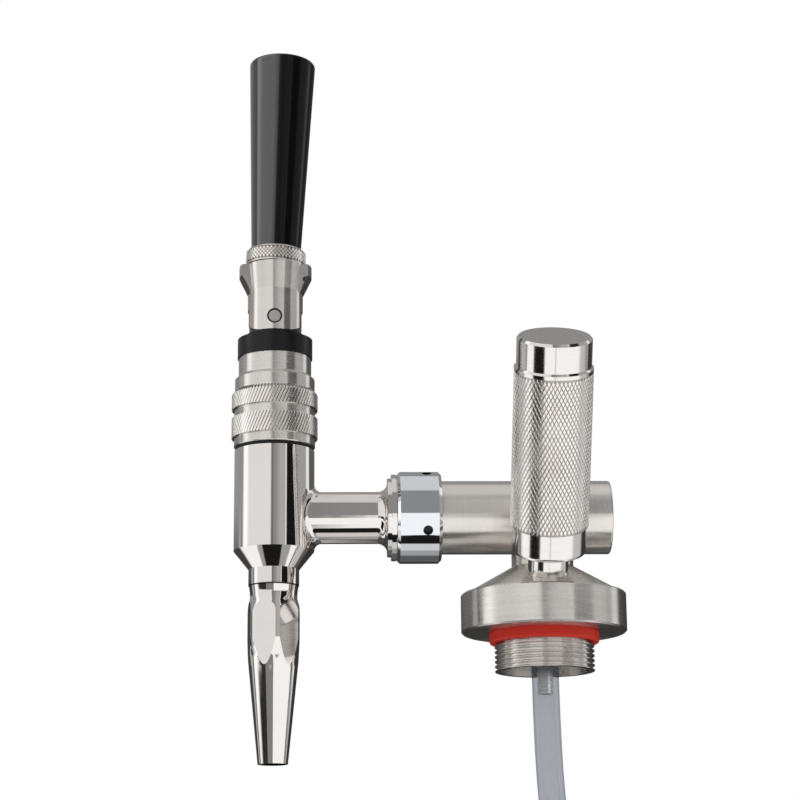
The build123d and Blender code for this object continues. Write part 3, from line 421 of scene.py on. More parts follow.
def make_turned_lines():
    """Fine lines that run round a turned piece's axis, which is Z of the vector."""
    group, source, result = new_group(
        "turned lines",
        [("Vector", "NodeSocketVector", None), ("Density", "NodeSocketFloat", 3000.0)],
        [("Lines", "NodeSocketFloat"), ("Bands", "NodeSocketFloat")],
    )
    split = group.nodes.new("ShaderNodeSeparateXYZ")
    group.links.new(source.outputs["Vector"], split.inputs[0])
    x, y, z = split.outputs
    squares = math_node(group, "MULTIPLY_ADD", x, x, math_node(group, "MULTIPLY", y, y))
    radius = math_node(group, "SQRT", squares)
    travel = math_node(group, "MULTIPLY_ADD", radius, 1.37, z)
    join = group.nodes.new("ShaderNodeCombineXYZ")
    group.links.new(math_node(group, "MULTIPLY", travel, source.outputs["Density"]), join.inputs[0])
    group.links.new(math_node(group, "MULTIPLY", x, 90.0), join.inputs[1])
    group.links.new(math_node(group, "MULTIPLY", y, 90.0), join.inputs[2])
    group.links.new(noise_node(group, join.outputs[0], 1.0, 3.0, 0.65), result.inputs["Lines"])
    wide = group.nodes.new("ShaderNodeVectorMath")
    wide.operation = "MULTIPLY"
    wide.inputs[1].default_value = (0.18, 0.3, 0.3)
    group.links.new(join.outputs[0], wide.inputs[0])
    group.links.new(noise_node(group, wide.outputs[0], 1.0, 2.0), result.inputs["Bands"])
    return group


def make_handling():
    """Uneven polish and faint marks from handling."""
    group, source, result = new_group(
        "handling marks",
        [("Vector", "NodeSocketVector", None), ("Scale", "NodeSocketFloat", 60.0)],
        [("Smudge", "NodeSocketFloat"), ("Ripple", "NodeSocketFloat")],
    )
    smudge = noise_node(group, source.outputs["Vector"], 60.0, 4.0, 0.6, 0.4)
    ripple = noise_node(group, source.outputs["Vector"], 140.0, 1.0)
    group.links.new(source.outputs["Scale"], smudge.node.inputs["Scale"])
    group.links.new(smudge, result.inputs["Smudge"])
    group.links.new(ripple, result.inputs["Ripple"])
    return group


def make_recess():
    """How deep a point lies below a turned piece's crests, from 0 on them to 1 in the grooves."""
    group, source, result = new_group(
        "recess",
        [
            ("Vector", "NodeSocketVector", None),
            ("Crest", "NodeSocketFloat", 0.01),
            ("Root", "NodeSocketFloat", 0.009),
        ],
        [("Depth", "NodeSocketFloat")],
    )
    flat = group.nodes.new("ShaderNodeVectorMath")
    flat.operation = "MULTIPLY"
    flat.inputs[1].default_value = (1.0, 1.0, 0.0)
    group.links.new(source.outputs["Vector"], flat.inputs[0])
    length = group.nodes.new("ShaderNodeVectorMath")
    length.operation = "LENGTH"
    group.links.new(flat.outputs[0], length.inputs[0])
    depth = range_node(group, length.outputs["Value"], 0.0, 1.0, 0.0, 1.0)
    group.links.new(source.outputs["Crest"], depth.node.inputs["From Min"])
    group.links.new(source.outputs["Root"], depth.node.inputs["From Max"])
    group.links.new(depth, result.inputs["Depth"])
    return group


def shared_group(name, maker):
    """The named node group, made once."""
    return bpy.data.node_groups.get(name) or maker()


def new_material(name):
    """A material, its tree, its Principled BSDF and its object vector, which is the frame's own."""
    material = bpy.data.materials.new(name)
    material.use_nodes = True
    tree = material.node_tree
    shader = next(node for node in tree.nodes if node.type == "BSDF_PRINCIPLED")
    coordinates = tree.nodes.new("ShaderNodeTexCoord")
    return material, tree, shader, coordinates.outputs["Object"]


def axis_vector(tree, vector, place, turn):
    """The vector seen from a piece's own axis."""
    mapping = tree.nodes.new("ShaderNodeMapping")
    mapping.vector_type = "TEXTURE"
    mapping.inputs["Location"].default_value = place
    mapping.inputs["Rotation"].default_value = turn
    tree.links.new(vector, mapping.inputs["Vector"])
    return mapping.outputs[0]


def place_group(tree, group, vector, **values):
    """A node that uses a shared group with its own values."""
    node = tree.nodes.new("ShaderNodeGroup")
    node.node_tree = group
    tree.links.new(vector, node.inputs["Vector"])
    for label, value in values.items():
        node.inputs[label].default_value = value
    return node


def shaded_colour(tree, factor, first, second):
    """A colour that changes between two shades by a factor."""
    mix = tree.nodes.new("ShaderNodeMix")
    mix.data_type = "RGBA"
    mix.inputs["A"].default_value = (*first, 1.0)
    mix.inputs["B"].default_value = (*second, 1.0)
    tree.links.new(factor, mix.inputs["Factor"])
    return mix.outputs["Result"]


def darken(tree, shader, mask, share):
    """Darken what feeds the base colour by a share where the mask is 1."""
    old = shader.inputs["Base Color"].links[0].from_socket
    mix = tree.nodes.new("ShaderNodeMix")
    mix.data_type = "RGBA"
    mix.blend_type = "MULTIPLY"
    mix.inputs["B"].default_value = (1.0 - share, 1.0 - share, 1.0 - share, 1.0)
    tree.links.new(mask, mix.inputs["Factor"])
    tree.links.new(old, mix.inputs["A"])
    tree.links.new(mix.outputs["Result"], shader.inputs["Base Color"])


def near_level(tree, vector, level, half):
    """1 where the vector's height is within half of a level."""
    split = tree.nodes.new("ShaderNodeSeparateXYZ")
    tree.links.new(vector, split.inputs[0])
    return math_node(tree, "COMPARE", split.outputs["Z"], level, half)


def finish_parts(material):
    """A finished material's tree, its shader and its object vector."""
    tree = material.node_tree
    shader = next(node for node in tree.nodes if node.type == "BSDF_PRINCIPLED")
    vector = next(node for node in tree.nodes if node.type == "TEX_COORD").outputs["Object"]
    return tree, shader, vector


def paint_recess_shade(material, place, turn, crest, root, share, level=None, half=0.0):
    """Paint shade into holes and grooves: darken within a radius of an axis, and near a level on it if one is
    given.
    """
    tree, shader, vector = finish_parts(material)
    local = axis_vector(tree, vector, place, turn)
    recess = place_group(tree, shared_group("recess", make_recess), local, Crest=crest, Root=root)
    mask = recess.outputs["Depth"]
    if level is not None:
        mask = math_node(tree, "MULTIPLY", mask, near_level(tree, local, level, half))
    # Painted shade: the colour darkens by the share inside the recess
    darken(tree, shader, mask, share)
    return material


def add_joint_line(material, level, half):
    """Darken the seam between two screwed pieces."""
    tree, shader, vector = finish_parts(material)
    darken(tree, shader, near_level(tree, vector, level, half), share=0.85)
    return material


def bump_node(tree, shader, height, distance):
    """A bump that feeds the shader's normal."""
    bump = tree.nodes.new("ShaderNodeBump")
    bump.inputs["Distance"].default_value = distance
    tree.links.new(height, bump.inputs["Height"])
    tree.links.new(bump.outputs["Normal"], shader.inputs["Normal"])


def stretch_shine(tree, shader, axis, amount):
    """Stretch the shine along a turned piece's axis, across its lathe lines."""
    tangent = tree.nodes.new("ShaderNodeTangent")
    tangent.direction_type = "RADIAL"
    tangent.axis = axis
    shader.inputs["Anisotropic"].default_value = amount
    shader.inputs["Anisotropic Rotation"].default_value = 0.25
    tree.links.new(tangent.outputs["Tangent"], shader.inputs["Tangent"])


def turned_metal(
    name, colour, rough, place, turn=(0.0, 0.0, 0.0), density=3000.0, depth=0.006, spread=0.5, stretch=0.0
):
    """Metal with lathe lines round the axis at a place: rough is its lowest and highest roughness."""
    material, tree, shader, vector = new_material(name)
    local = axis_vector(tree, vector, place, turn)
    lines = place_group(tree, shared_group("turned lines", make_turned_lines), local, Density=density)
    marks = place_group(tree, shared_group("handling marks", make_handling), vector, Scale=55.0)
    fine = math_node(tree, "MULTIPLY", lines.outputs["Lines"], 0.4)
    blend = math_node(tree, "MULTIPLY_ADD", lines.outputs["Bands"], 0.6, fine)
    shade = range_node(tree, blend, 0.35, 0.65, 1.0 - spread, 1.0)
    dark = tuple(channel * 0.8 for channel in colour)
    tree.links.new(shaded_colour(tree, shade, dark, colour), shader.inputs["Base Color"])
    half = math_node(tree, "MULTIPLY", lines.outputs["Lines"], 0.5)
    uneven = math_node(tree, "MULTIPLY_ADD", marks.outputs["Smudge"], 0.5, half)
    tree.links.new(range_node(tree, uneven, 0.35, 0.65, *rough), shader.inputs["Roughness"])
    shader.inputs["Metallic"].default_value = 1.0
    bump_node(tree, shader, lines.outputs["Lines"], depth * MM)
    if stretch > 0.0:
        lies_along_x = turn[1] > math.radians(45)
        stretch_shine(tree, shader, "X" if lies_along_x else "Z", stretch)
    return material


def polished_metal(name, colour, rough, ripple=0.012):
    """Mirror finish with faint smudges and a slight ripple from polishing."""
    material, tree, shader, vector = new_material(name)
    marks = place_group(tree, shared_group("handling marks", make_handling), vector, Scale=80.0)
    tree.links.new(range_node(tree, marks.outputs["Smudge"], 0.4, 0.7, *rough), shader.inputs["Roughness"])
    dark = tuple(channel * 0.93 for channel in colour)
    tree.links.new(shaded_colour(tree, marks.outputs["Smudge"], dark, colour), shader.inputs["Base Color"])
    shader.inputs["Metallic"].default_value = 1.0
    bump_node(tree, shader, marks.outputs["Ripple"], ripple * MM)
    return material


def moulded(name, colour, rough, grain=900.0, depth=0.004, specular=0.5):
    """Moulded plastic or rubber with a fine surface grain."""
    material, tree, shader, vector = new_material(name)
    marks = place_group(tree, shared_group("handling marks", make_handling), vector, Scale=45.0)
    light = tuple(min(1.0, channel * 1.25) for channel in colour)
    tree.links.new(shaded_colour(tree, marks.outputs["Smudge"], colour, light), shader.inputs["Base Color"])
    tree.links.new(range_node(tree, marks.outputs["Smudge"], 0.35, 0.7, *rough), shader.inputs["Roughness"])
    shader.inputs["Specular IOR Level"].default_value = specular
    bump_node(tree, shader, noise_node(tree, vector, grain, 3.0), depth * MM)
    return material


def knurled_metal(name, colour, crest, depth, place, turn=(0.0, 0.0, 0.0), groove_shade=0.5):
    """Satin metal with painted light on a knurl's crests and painted shade, dull and dark, down in its grooves.
    """
    material, tree, shader, vector = new_material(name)
    local = axis_vector(tree, vector, place, turn)
    recess = place_group(tree, shared_group("recess", make_recess), local, Crest=crest, Root=crest - depth)
    marks = place_group(tree, shared_group("handling marks", make_handling), vector, Scale=120.0)
    # Painted shade down in the grooves and painted light on the crests
    dark = tuple(channel * groove_shade for channel in colour)
    light = tuple(min(1.0, channel * 1.14) for channel in colour)
    uneven = math_node(tree, "MULTIPLY_ADD", marks.outputs["Smudge"], 0.3, recess.outputs["Depth"])
    shade = range_node(tree, uneven, 0.55, 1.15, 0.0, 1.0)
    tree.links.new(shaded_colour(tree, shade, light, dark), shader.inputs["Base Color"])
    tree.links.new(range_node(tree, marks.outputs["Smudge"], 0.35, 0.65, 0.2, 0.32), shader.inputs["Roughness"])
    shader.inputs["Metallic"].default_value = 1.0
    bump_node(tree, shader, noise_node(tree, vector, 2600.0, 3.0, 0.6), 0.005 * MM)
    return material


def paint_side_sheen(material):
    """Paint sheen on a dark moulded piece: it reflects more, with a clear coat, on its side towards -X than on
    the other, standing in for the light on that side.
    """
    tree, shader, vector = finish_parts(material)
    geometry = tree.nodes.new("ShaderNodeNewGeometry")
    split = tree.nodes.new("ShaderNodeSeparateXYZ")
    tree.links.new(geometry.outputs["Normal"], split.inputs[0])
    # Painted sheen: reflection and coat rise towards the -X side
    side = range_node(tree, split.outputs["X"], -0.2, 0.05, 1.0, 0.0)
    tree.links.new(range_node(tree, side, 0.0, 1.0, 0.22, 1.0), shader.inputs["Specular IOR Level"])
    tree.links.new(side, shader.inputs["Coat Weight"])
    shader.inputs["Coat Roughness"].default_value = 0.04
    return material


def hose_plastic(name, colour):
    """Milky hose wall that lets the barb show through, with painted shade towards its edges where they turn
    side-on to view.
    """
    material, tree, shader, vector = new_material(name)
    marks = place_group(tree, shared_group("handling marks", make_handling), vector, Scale=35.0)
    facing = tree.nodes.new("ShaderNodeLayerWeight")
    facing.inputs["Blend"].default_value = 0.5
    # Painted shade: darker where the wall turns side-on to view, with random smudges
    edge = math_node(tree, "MULTIPLY_ADD", marks.outputs["Smudge"], 0.25, facing.outputs["Facing"])
    dark = tuple(channel ** 1.6 for channel in colour)
    shade = range_node(tree, edge, 0.45, 1.0, 0.0, 1.0)
    tree.links.new(shaded_colour(tree, shade, colour, dark), shader.inputs["Base Color"])
    tree.links.new(range_node(tree, marks.outputs["Smudge"], 0.3, 0.7, 0.03, 0.05), shader.inputs["Roughness"])
    shader.inputs["Transmission Weight"].default_value = 0.9
    shader.inputs["IOR"].default_value = 1.05
    bump_node(tree, shader, noise_node(tree, vector, 60.0, 1.0), 0.003 * MM)
    return material


# ---- Operators ------------------------------------------------------------


# The photograph's viewpoint: the lens, the point it looks at, how far away and from where
LENS, SENSOR = 99.0, 36.0
VIEW_TARGET = Vector((-53.6 * MM, 0.0, 90.7 * MM))
VIEW_DISTANCE = 850 * MM
VIEW_SIDE, VIEW_PITCH, VIEW_ROLL = (math.radians(angle) for angle in (2.0, 14.3, -0.5))
FLOOR_SIZE, FLOOR_DROP = 6.0, 6 * MM
LAMP_TARGET = Vector((-0.05, 0.0, 0.05))
# Lamps by name, place, size and power
LAMPS = (
    ("key_lamp", (-0.9, -1.1, 1.2), 0.9, 14.0),
    ("fill_lamp", (1.2, -0.9, 0.5), 1.0, 6.0),
)


class TAP_OT_stage(Operator):
    """Place the camera, the floor, the surround and the lamps"""

    bl_idname = "tap.stage"
    bl_label = "Stage"

    def execute(self, context):
        scene = context.scene
        scene.view_settings.view_transform = "Standard"
        bpy.ops.object.camera_add()
        camera = context.object
        camera.name = "photo_camera"
        camera.data.sensor_width = SENSOR
        camera.data.lens = LENS
        camera.data.clip_start = 0.01
        level = math.cos(VIEW_PITCH)
        look = Vector((math.sin(VIEW_SIDE) * level, math.cos(VIEW_SIDE) * level, math.sin(VIEW_PITCH)))
        camera.location = VIEW_TARGET - look * VIEW_DISTANCE
        roll = Matrix.Rotation(VIEW_ROLL, 3, "Z").to_quaternion()
        camera.rotation_mode = "QUATERNION"
        camera.rotation_quaternion = look.to_track_quat("-Z", "Y") @ roll
        scene.camera = camera

        deselect()
        bpy.ops.mesh.primitive_plane_add(size=FLOOR_SIZE, location=(0.0, 0.0, cad_box[0].z - FLOOR_DROP))
        floor = context.object
        floor.name = "floor"
        paint, tree, shader, vector = new_material("pale floor")
        shade = noise_node(tree, vector, 3.0, 2.0)
        pale = shaded_colour(tree, shade, (0.90, 0.90, 0.90), (0.94, 0.94, 0.94))
        tree.links.new(pale, shader.inputs["Base Color"])
        shader.inputs["Roughness"].default_value = 0.9
        give_finish(floor, paint)
        floor.visible_glossy = False

        for name, place, size, power in LAMPS:
            bpy.ops.object.light_add(type="AREA", location=place)
            lamp = context.object
            lamp.name = name
            lamp.data.size = size
            lamp.data.energy = power
            aim = LAMP_TARGET - Vector(place)
            lamp.rotation_mode = "QUATERNION"
            lamp.rotation_quaternion = aim.to_track_quat("-Z", "Y")
            lamp.visible_glossy = False
        make_surround(scene)
        return {"FINISHED"}


# Cards of the studio that polished metal shows, later ones over earlier ones: azimuth from the
# camera's side towards +X and elevation, each as low and high in degrees, the edge's softness in
# degrees, and the grey it shows
CARDS = (
    ("upper wrap", -181, 181, -10, 62, 6, 0.30),
    ("back left wall", -181, -96, -30, 62, 24, 0.34),
    ("left softbox", -80, -5, -2, 62, 4, 0.88),
    ("left softbox's bright edge", -98, -79, -5, 62, 7, 1.25),
    ("seam beside the softbox", -8, -1, 0, 62, 3, 0.20),
    ("grey panel", 12, 36, 2, 62, 14, 0.48),
    ("overhead softbox", -181, 181, 62, 91, 5, 0.72),
    ("table", -181, 181, -56, -10, 2, 1.12),
    ("table's dark end", -73, -34, -10, -1.7, 2, 0.03),
    ("table's brown end", -35, 1, -10, -1.7, 2, 0.26),
    ("table's pale end", 1, 92, -11, 1, 1.5, 1.12),
    ("table's shaded end", 86, 128, -48, -7, 8, 0.6),
    ("table's far side", -54, 40, -79, -56, 3, 0.012),
    ("under the table", -181, 181, -91, -79, 3, 0.72),
    ("left flag", -80, -44, -48, -17, 4, 0.012),
    ("line of the lens", -3.0, 0.2, -55, -38, 2.0, 0.5),
    ("thin bright gap", 33, 37, 2, 62, 2, 0.9),
    ("right flag", 37, 67, 2, 62, 2, 0.010),
    ("warm right wrap", 68, 104, 2, 62, 4, 0.40),
    ("right light line", 104, 119, 0, 62, 4, 0.95),
    ("back right wall", 120, 181, -60, 25, 6, 0.12),
    ("back low left", -181, -125, -70, -8, 8, 0.08),
    ("low left wall", -181, -120, -25, 10.5, 2, 0.06),
    ("streak on the left", -120, -106, -8, 10.5, 2, 0.5),
    ("dark line on the left", -106, -102.5, -8, 10.5, 1.5, 0.02),
    ("low right wall", 120, 181, -25, 10.5, 2, 0.04),
)
# Grey where there is no card, and the even light on what doesn't shine
BARE_GREY, EVEN_LIGHT = 0.4, 0.82


def make_card_mask():
    """How far a direction lies inside a card of the studio."""
    group, source, result = new_group(
        "studio card",
        [
            (label, "NodeSocketFloat", 0.0)
            for label in ("Azimuth", "Elevation", "Left", "Right", "Bottom", "Top", "Soft")
        ],
        [("Mask", "NodeSocketFloat")],
    )
    sides = []
    for value, low, high in (("Azimuth", "Left", "Right"), ("Elevation", "Bottom", "Top")):
        above = math_node(group, "SUBTRACT", source.outputs[value], source.outputs[low])
        below = math_node(group, "SUBTRACT", source.outputs[high], source.outputs[value])
        inside = math_node(group, "MINIMUM", above, below)
        share = math_node(group, "DIVIDE", inside, source.outputs["Soft"])
        ramp = math_node(group, "ADD", share, 0.5)
        ramp.node.use_clamp = True
        sides.append(ramp)
    group.links.new(math_node(group, "MULTIPLY", *sides), result.inputs["Mask"])
    return group


def make_surround(scene):
    """White behind the object, an even light, and a studio of cards for what shines."""
    world = bpy.data.worlds.new("studio surround")
    scene.world = world
    world.use_nodes = True
    tree = world.node_tree
    tree.nodes.clear()
    direction = tree.nodes.new("ShaderNodeTexCoord").outputs["Generated"]
    split = tree.nodes.new("ShaderNodeSeparateXYZ")
    tree.links.new(direction, split.inputs[0])
    x, y, z = split.outputs
    towards_camera = math_node(tree, "MULTIPLY", y, -1.0)
    azimuth = math_node(tree, "DEGREES", math_node(tree, "ARCTAN2", x, towards_camera))
    elevation = math_node(tree, "DEGREES", math_node(tree, "ARCSINE", z))
    mask_group = make_card_mask()
    grey = None
    for name, *edges, value in CARDS:
        card = tree.nodes.new("ShaderNodeGroup")
        card.node_tree = mask_group
        card.label = name
        tree.links.new(azimuth, card.inputs["Azimuth"])
        tree.links.new(elevation, card.inputs["Elevation"])
        for label, number in zip(("Left", "Right", "Bottom", "Top", "Soft"), edges):
            card.inputs[label].default_value = number
        mix = tree.nodes.new("ShaderNodeMix")
        mix.data_type = "FLOAT"
        if grey is None:
            mix.inputs["A"].default_value = BARE_GREY
        else:
            tree.links.new(grey, mix.inputs["A"])
        mix.inputs["B"].default_value = value
        tree.links.new(card.outputs["Mask"], mix.inputs["Factor"])
        grey = mix.outputs["Result"]
    path = tree.nodes.new("ShaderNodeLightPath")
    even = tree.nodes.new("ShaderNodeMix")
    even.data_type = "FLOAT"
    even.inputs["A"].default_value = EVEN_LIGHT
    tree.links.new(path.outputs["Is Glossy Ray"], even.inputs["Factor"])
    tree.links.new(grey, even.inputs["B"])
    seen = math_node(tree, "MAXIMUM", path.outputs["Is Camera Ray"], path.outputs["Is Transmission Ray"])
    final = tree.nodes.new("ShaderNodeMix")
    final.data_type = "FLOAT"
    final.inputs["B"].default_value = 1.0
    tree.links.new(seen, final.inputs["Factor"])
    tree.links.new(even.outputs["Result"], final.inputs["A"])
    light = tree.nodes.new("ShaderNodeBackground")
    light.inputs["Color"].default_value = (1.0, 1.0, 1.0, 1.0)
    tree.links.new(final.outputs["Result"], light.inputs["Strength"])
    output = tree.nodes.new("ShaderNodeOutputWorld")
    tree.links.new(light.outputs[0], output.inputs["Surface"])


# Points in millimetres that the hose hangs along below the barb
HOSE_ROUTE = (
    (0.0, 0.0, -38),
    (2.4, 0.3, -76),
    (5.0, 0.1, -113),
    (6.4, -0.9, -151),
    (6.6, -1.8, -188),
    (5.6, -1.4, -224),
)


class TAP_OT_hose(Operator):
    """Hang the dip tube from the barb"""

    bl_idname = "tap.hose"
    bl_label = "Dip Tube"

    def execute(self, context):
        sizes = context.scene.tap_sizes
        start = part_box("dip_tube")[1].z
        route = [(0.0, 0.0, start), *(tuple(value * MM for value in point) for point in HOSE_ROUTE)]
        curve = bpy.data.curves.new("dip_tube_hose", "CURVE")
        curve.dimensions = "3D"
        curve.resolution_u = 24
        spline = curve.splines.new("NURBS")
        spline.points.add(len(route) - 1)
        for point, place in zip(spline.points, route):
            point.co = (*place, 1.0)
        spline.order_u = 3
        spline.use_endpoint_u = True
        line = bpy.data.objects.new("hose_line", curve)
        context.scene.collection.objects.link(line)
        context.view_layer.update()
        centres = bpy.data.meshes.new_from_object(line.evaluated_get(context.evaluated_depsgraph_get()))
        bpy.data.meshes.remove(centres)
        curve.bevel_depth = sizes.hose_radius
        curve.bevel_resolution = 10
        activate(line)
        bpy.ops.object.convert(target="MESH")
        hose = context.object
        hose.name = "dip_tube_hose"
        hose.data.name = "dip_tube_hose"
        colour = context.scene.tap_colours.hose
        clear = tuple(0.1 * channel + 0.9 for channel in colour)
        # Both hose materials get painted shade towards their side-on edges
        give_finish(hose, hose_plastic("translucent hose", colour), hose_plastic("hose bore", clear))
        wall = hose.modifiers.new("wall", "SOLIDIFY")
        wall.thickness = sizes.hose_radius - sizes.hose_bore
        wall.offset = -1.0
        wall.material_offset = 1
        wall.use_even_offset = True
        bpy.ops.object.modifier_apply(modifier=wall.name)
        select_parts(hose, faces=lambda face: True)
        bpy.ops.mesh.normals_make_consistent(inside=False)
        bpy.ops.object.mode_set(mode="OBJECT")
        bpy.ops.object.shade_smooth_by_angle(angle=math.radians(40))
        stand_for(hose, "cap", "dip_tube")
        return {"FINISHED"}


class TAP_OT_sleeve(Operator):
    """Model the cartridge sleeve with its diamond grip"""

    bl_idname = "tap.sleeve"
    bl_label = "Cartridge Sleeve"

    def execute(self, context):
        sizes, colours = context.scene.tap_sizes, context.scene.tap_colours
        depth = sizes.sleeve_knurl_depth
        start, end = 7.9 * MM, 89.8 * MM
        band, grip, bore, thread_bore = 13.75 * MM, 14.5 * MM, 9.6 * MM, 10.6 * MM
        step, roof = 21.0 * MM, 81.5 * MM
        grip_low, grip_high = start + 10.2 * MM, end - 10.8 * MM
        knurl_high = grip_high - 2.1 * MM
        core = grip - depth - KNURL_GAP
        body = turn_outline(
            "sleeve_with_grip",
            [
                (thread_bore, start), (band - 0.9 * MM, start),
                (band - 0.25 * MM, start + 0.3 * MM), (band, start + 1.0 * MM),
                (band, start + 1.4 * MM), (band, grip_low), (core, grip_low + 0.02 * MM),
                (core, knurl_high), (grip - 0.04 * MM, knurl_high), (grip, grip_high - 0.7 * MM),
                (grip - 0.7 * MM, grip_high), (band, grip_high), (band, end - 0.95 * MM),
                (band - 0.8 * MM, end), (0.0, end), (0.0, roof), (bore, roof), (bore, step),
                (thread_bore, step),
            ],
        )
        round_edges(body, sizes.edge_round)
        knurl = diamond_band(
            "sleeve_knurl", grip, depth, grip_low, knurl_high, sizes.sleeve_diamonds, sizes.sleeve_rows
        )
        lean = PORT_TURN.to_euler()
        give_finish(
            body,
            turned_metal(
                "polished sleeve", colours.mirror, (0.09, 0.15), PORT_PLACE, lean,
                density=5200.0, depth=0.0014, spread=0.25,
            ),
        )
        # The sleeve's grip gets painted light on its crests and painted shade in its grooves
        give_finish(knurl, knurled_metal("knurled sleeve", colours.steel, grip, depth, PORT_PLACE, lean))
        join_pieces(body, [knurl])
        put_in_place(body, PORT_PLACE, PORT_TURN)
        stand_for(body, "sleeve", "cartridge_sleeve")
        return {"FINISHED"}


class TAP_OT_bonnet(Operator):
    """Model the bonnet with its two slanted grip bands"""

    bl_idname = "tap.bonnet"
    bl_label = "Bonnet"

    def execute(self, context):
        sizes, colours = context.scene.tap_sizes, context.scene.tap_colours
        depth = sizes.bonnet_knurl_depth
        knurl, core = 16.55, 16.0
        low_foot, low_top, high_foot, high_top = 3.65, 11.35, 14.8, 22.05
        outline = [
            (13.1, 0.0), (15.2, 0.0), (15.55, 0.35), (15.55, low_foot), (core, 3.67), (core, 11.33),
            (15.5, low_top), (15.5, high_foot), (core, 14.82), (core, 20.9), (15.42, high_top),
            (15.35, 22.15), (15.35, 26.85), (14.0, 28.15), (14.0, 35.35), (4.3, 35.35),
            (4.3, 31.35), (9.0, 31.35), (9.0, 16.12), (13.1, 16.12),
        ]
        outline = [(radius * MM, height * MM) for radius, height in outline]
        body = turn_outline("bonnet_with_grips", outline)
        round_edges(body, sizes.edge_round)
        ridges, slant = sizes.bonnet_ridges, sizes.bonnet_slant
        low_band = slanted_band("low_grip", knurl * MM, depth, low_foot * MM, low_top * MM, ridges, slant)
        high_band = slanted_band("high_grip", knurl * MM, depth, high_foot * MM, high_top * MM, ridges, slant)
        select_parts(high_band, vertices=lambda point: abs(point.co.z - high_top * MM) < SAME_LEVEL)
        chamfered = 15.45
        share = chamfered / knurl
        bpy.ops.transform.resize(value=(share, share, 1.0), center_override=(0.0, 0.0, 0.0))
        bpy.ops.object.mode_set(mode="OBJECT")
        place = Vector((FAUCET_X, 0.0, BONNET_FOOT))
        give_finish(
            body,
            turned_metal(
                "satin bonnet", colours.steel, (0.22, 0.31), place,
                density=4200.0, depth=0.003, spread=0.35, stretch=0.85,
            ),
        )
        # The bonnet's grips get painted light on their crests and painted shade in their grooves
        grip = knurled_metal("knurled bonnet", colours.steel, knurl * MM, depth, place, groove_shade=0.33)
        give_finish(low_band, grip)
        give_finish(high_band, grip)
        join_pieces(body, [low_band, high_band])
        put_in_place(body, place)
        stand_for(body, "faucet", "bonnet")
        return {"FINISHED"}


class TAP_OT_lock_ring(Operator):
    """Model the knurled lock ring under the handle"""

    bl_idname = "tap.lock_ring"
    bl_label = "Lock Ring"

    def execute(self, context):
        sizes, colours = context.scene.tap_sizes, context.scene.tap_colours
        depth = sizes.ring_knurl_depth
        core = LOCK_RING_RADIUS - depth - KNURL_GAP
        low, high = 0.02 * MM, 6.32 * MM
        bore, rim = 4.8 * MM, 11.4 * MM
        body = turn_outline(
            "lock_ring_with_grip",
            [
                (bore, low), (rim, low), (rim, low + 0.7 * MM), (core, low + 0.72 * MM),
                (core, high - 0.75 * MM), (10.8 * MM, high), (bore, high),
            ],
        )
        round_edges(body, sizes.edge_round / 2)
        knurl = diamond_band(
            "ring_knurl",
            LOCK_RING_RADIUS,
            depth,
            low + 0.7 * MM,
            high - 0.7 * MM,
            sizes.ring_diamonds,
            sizes.ring_rows,
        )
        give_finish(
            body,
            turned_metal("satin lock ring", colours.steel, (0.22, 0.34), RING_SEAT, density=4200.0, depth=0.004),
        )
        lean = HANDLE_TURN.to_euler()
        # The lock ring's grip gets painted light on its crests and painted shade in its grooves
        grip = knurled_metal(
            "knurled lock ring", colours.steel, LOCK_RING_RADIUS, depth, RING_SEAT, lean, groove_shade=0.3
        )
        give_finish(knurl, grip)
        join_pieces(body, [knurl])
        put_in_place(body, RING_SEAT, HANDLE_TURN)
        stand_for(body, "lever", "lock_ring")
        return {"FINISHED"}


class TAP_OT_spring(Operator):
    """Put a smooth copy of the return spring under the bonnet's roof, riding on the plunger that the lever lifts
    """

    bl_idname = "tap.spring"
    bl_label = "Return Spring"

    def execute(self, context):
        activate(frame["nodes"]["return_spring"])
        bpy.ops.object.duplicate()
        spring = context.object
        spring.name = "closing_spring"
        spring.data.name = "closing_spring"
        bpy.ops.object.mode_set(mode="EDIT")
        bpy.ops.mesh.select_all(action="SELECT")
        bpy.ops.mesh.remove_doubles(threshold=0.001 * MM)
        bpy.ops.object.mode_set(mode="OBJECT")
        bpy.ops.object.shade_smooth_by_angle(angle=math.radians(40))
        wire = context.scene.tap_colours.steel
        give_finish(spring, polished_metal("spring wire", wire, (0.2, 0.3), ripple=0.004))
        stand_for(spring, "plunger", "return_spring")
        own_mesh(spring)
        return {"FINISHED"}


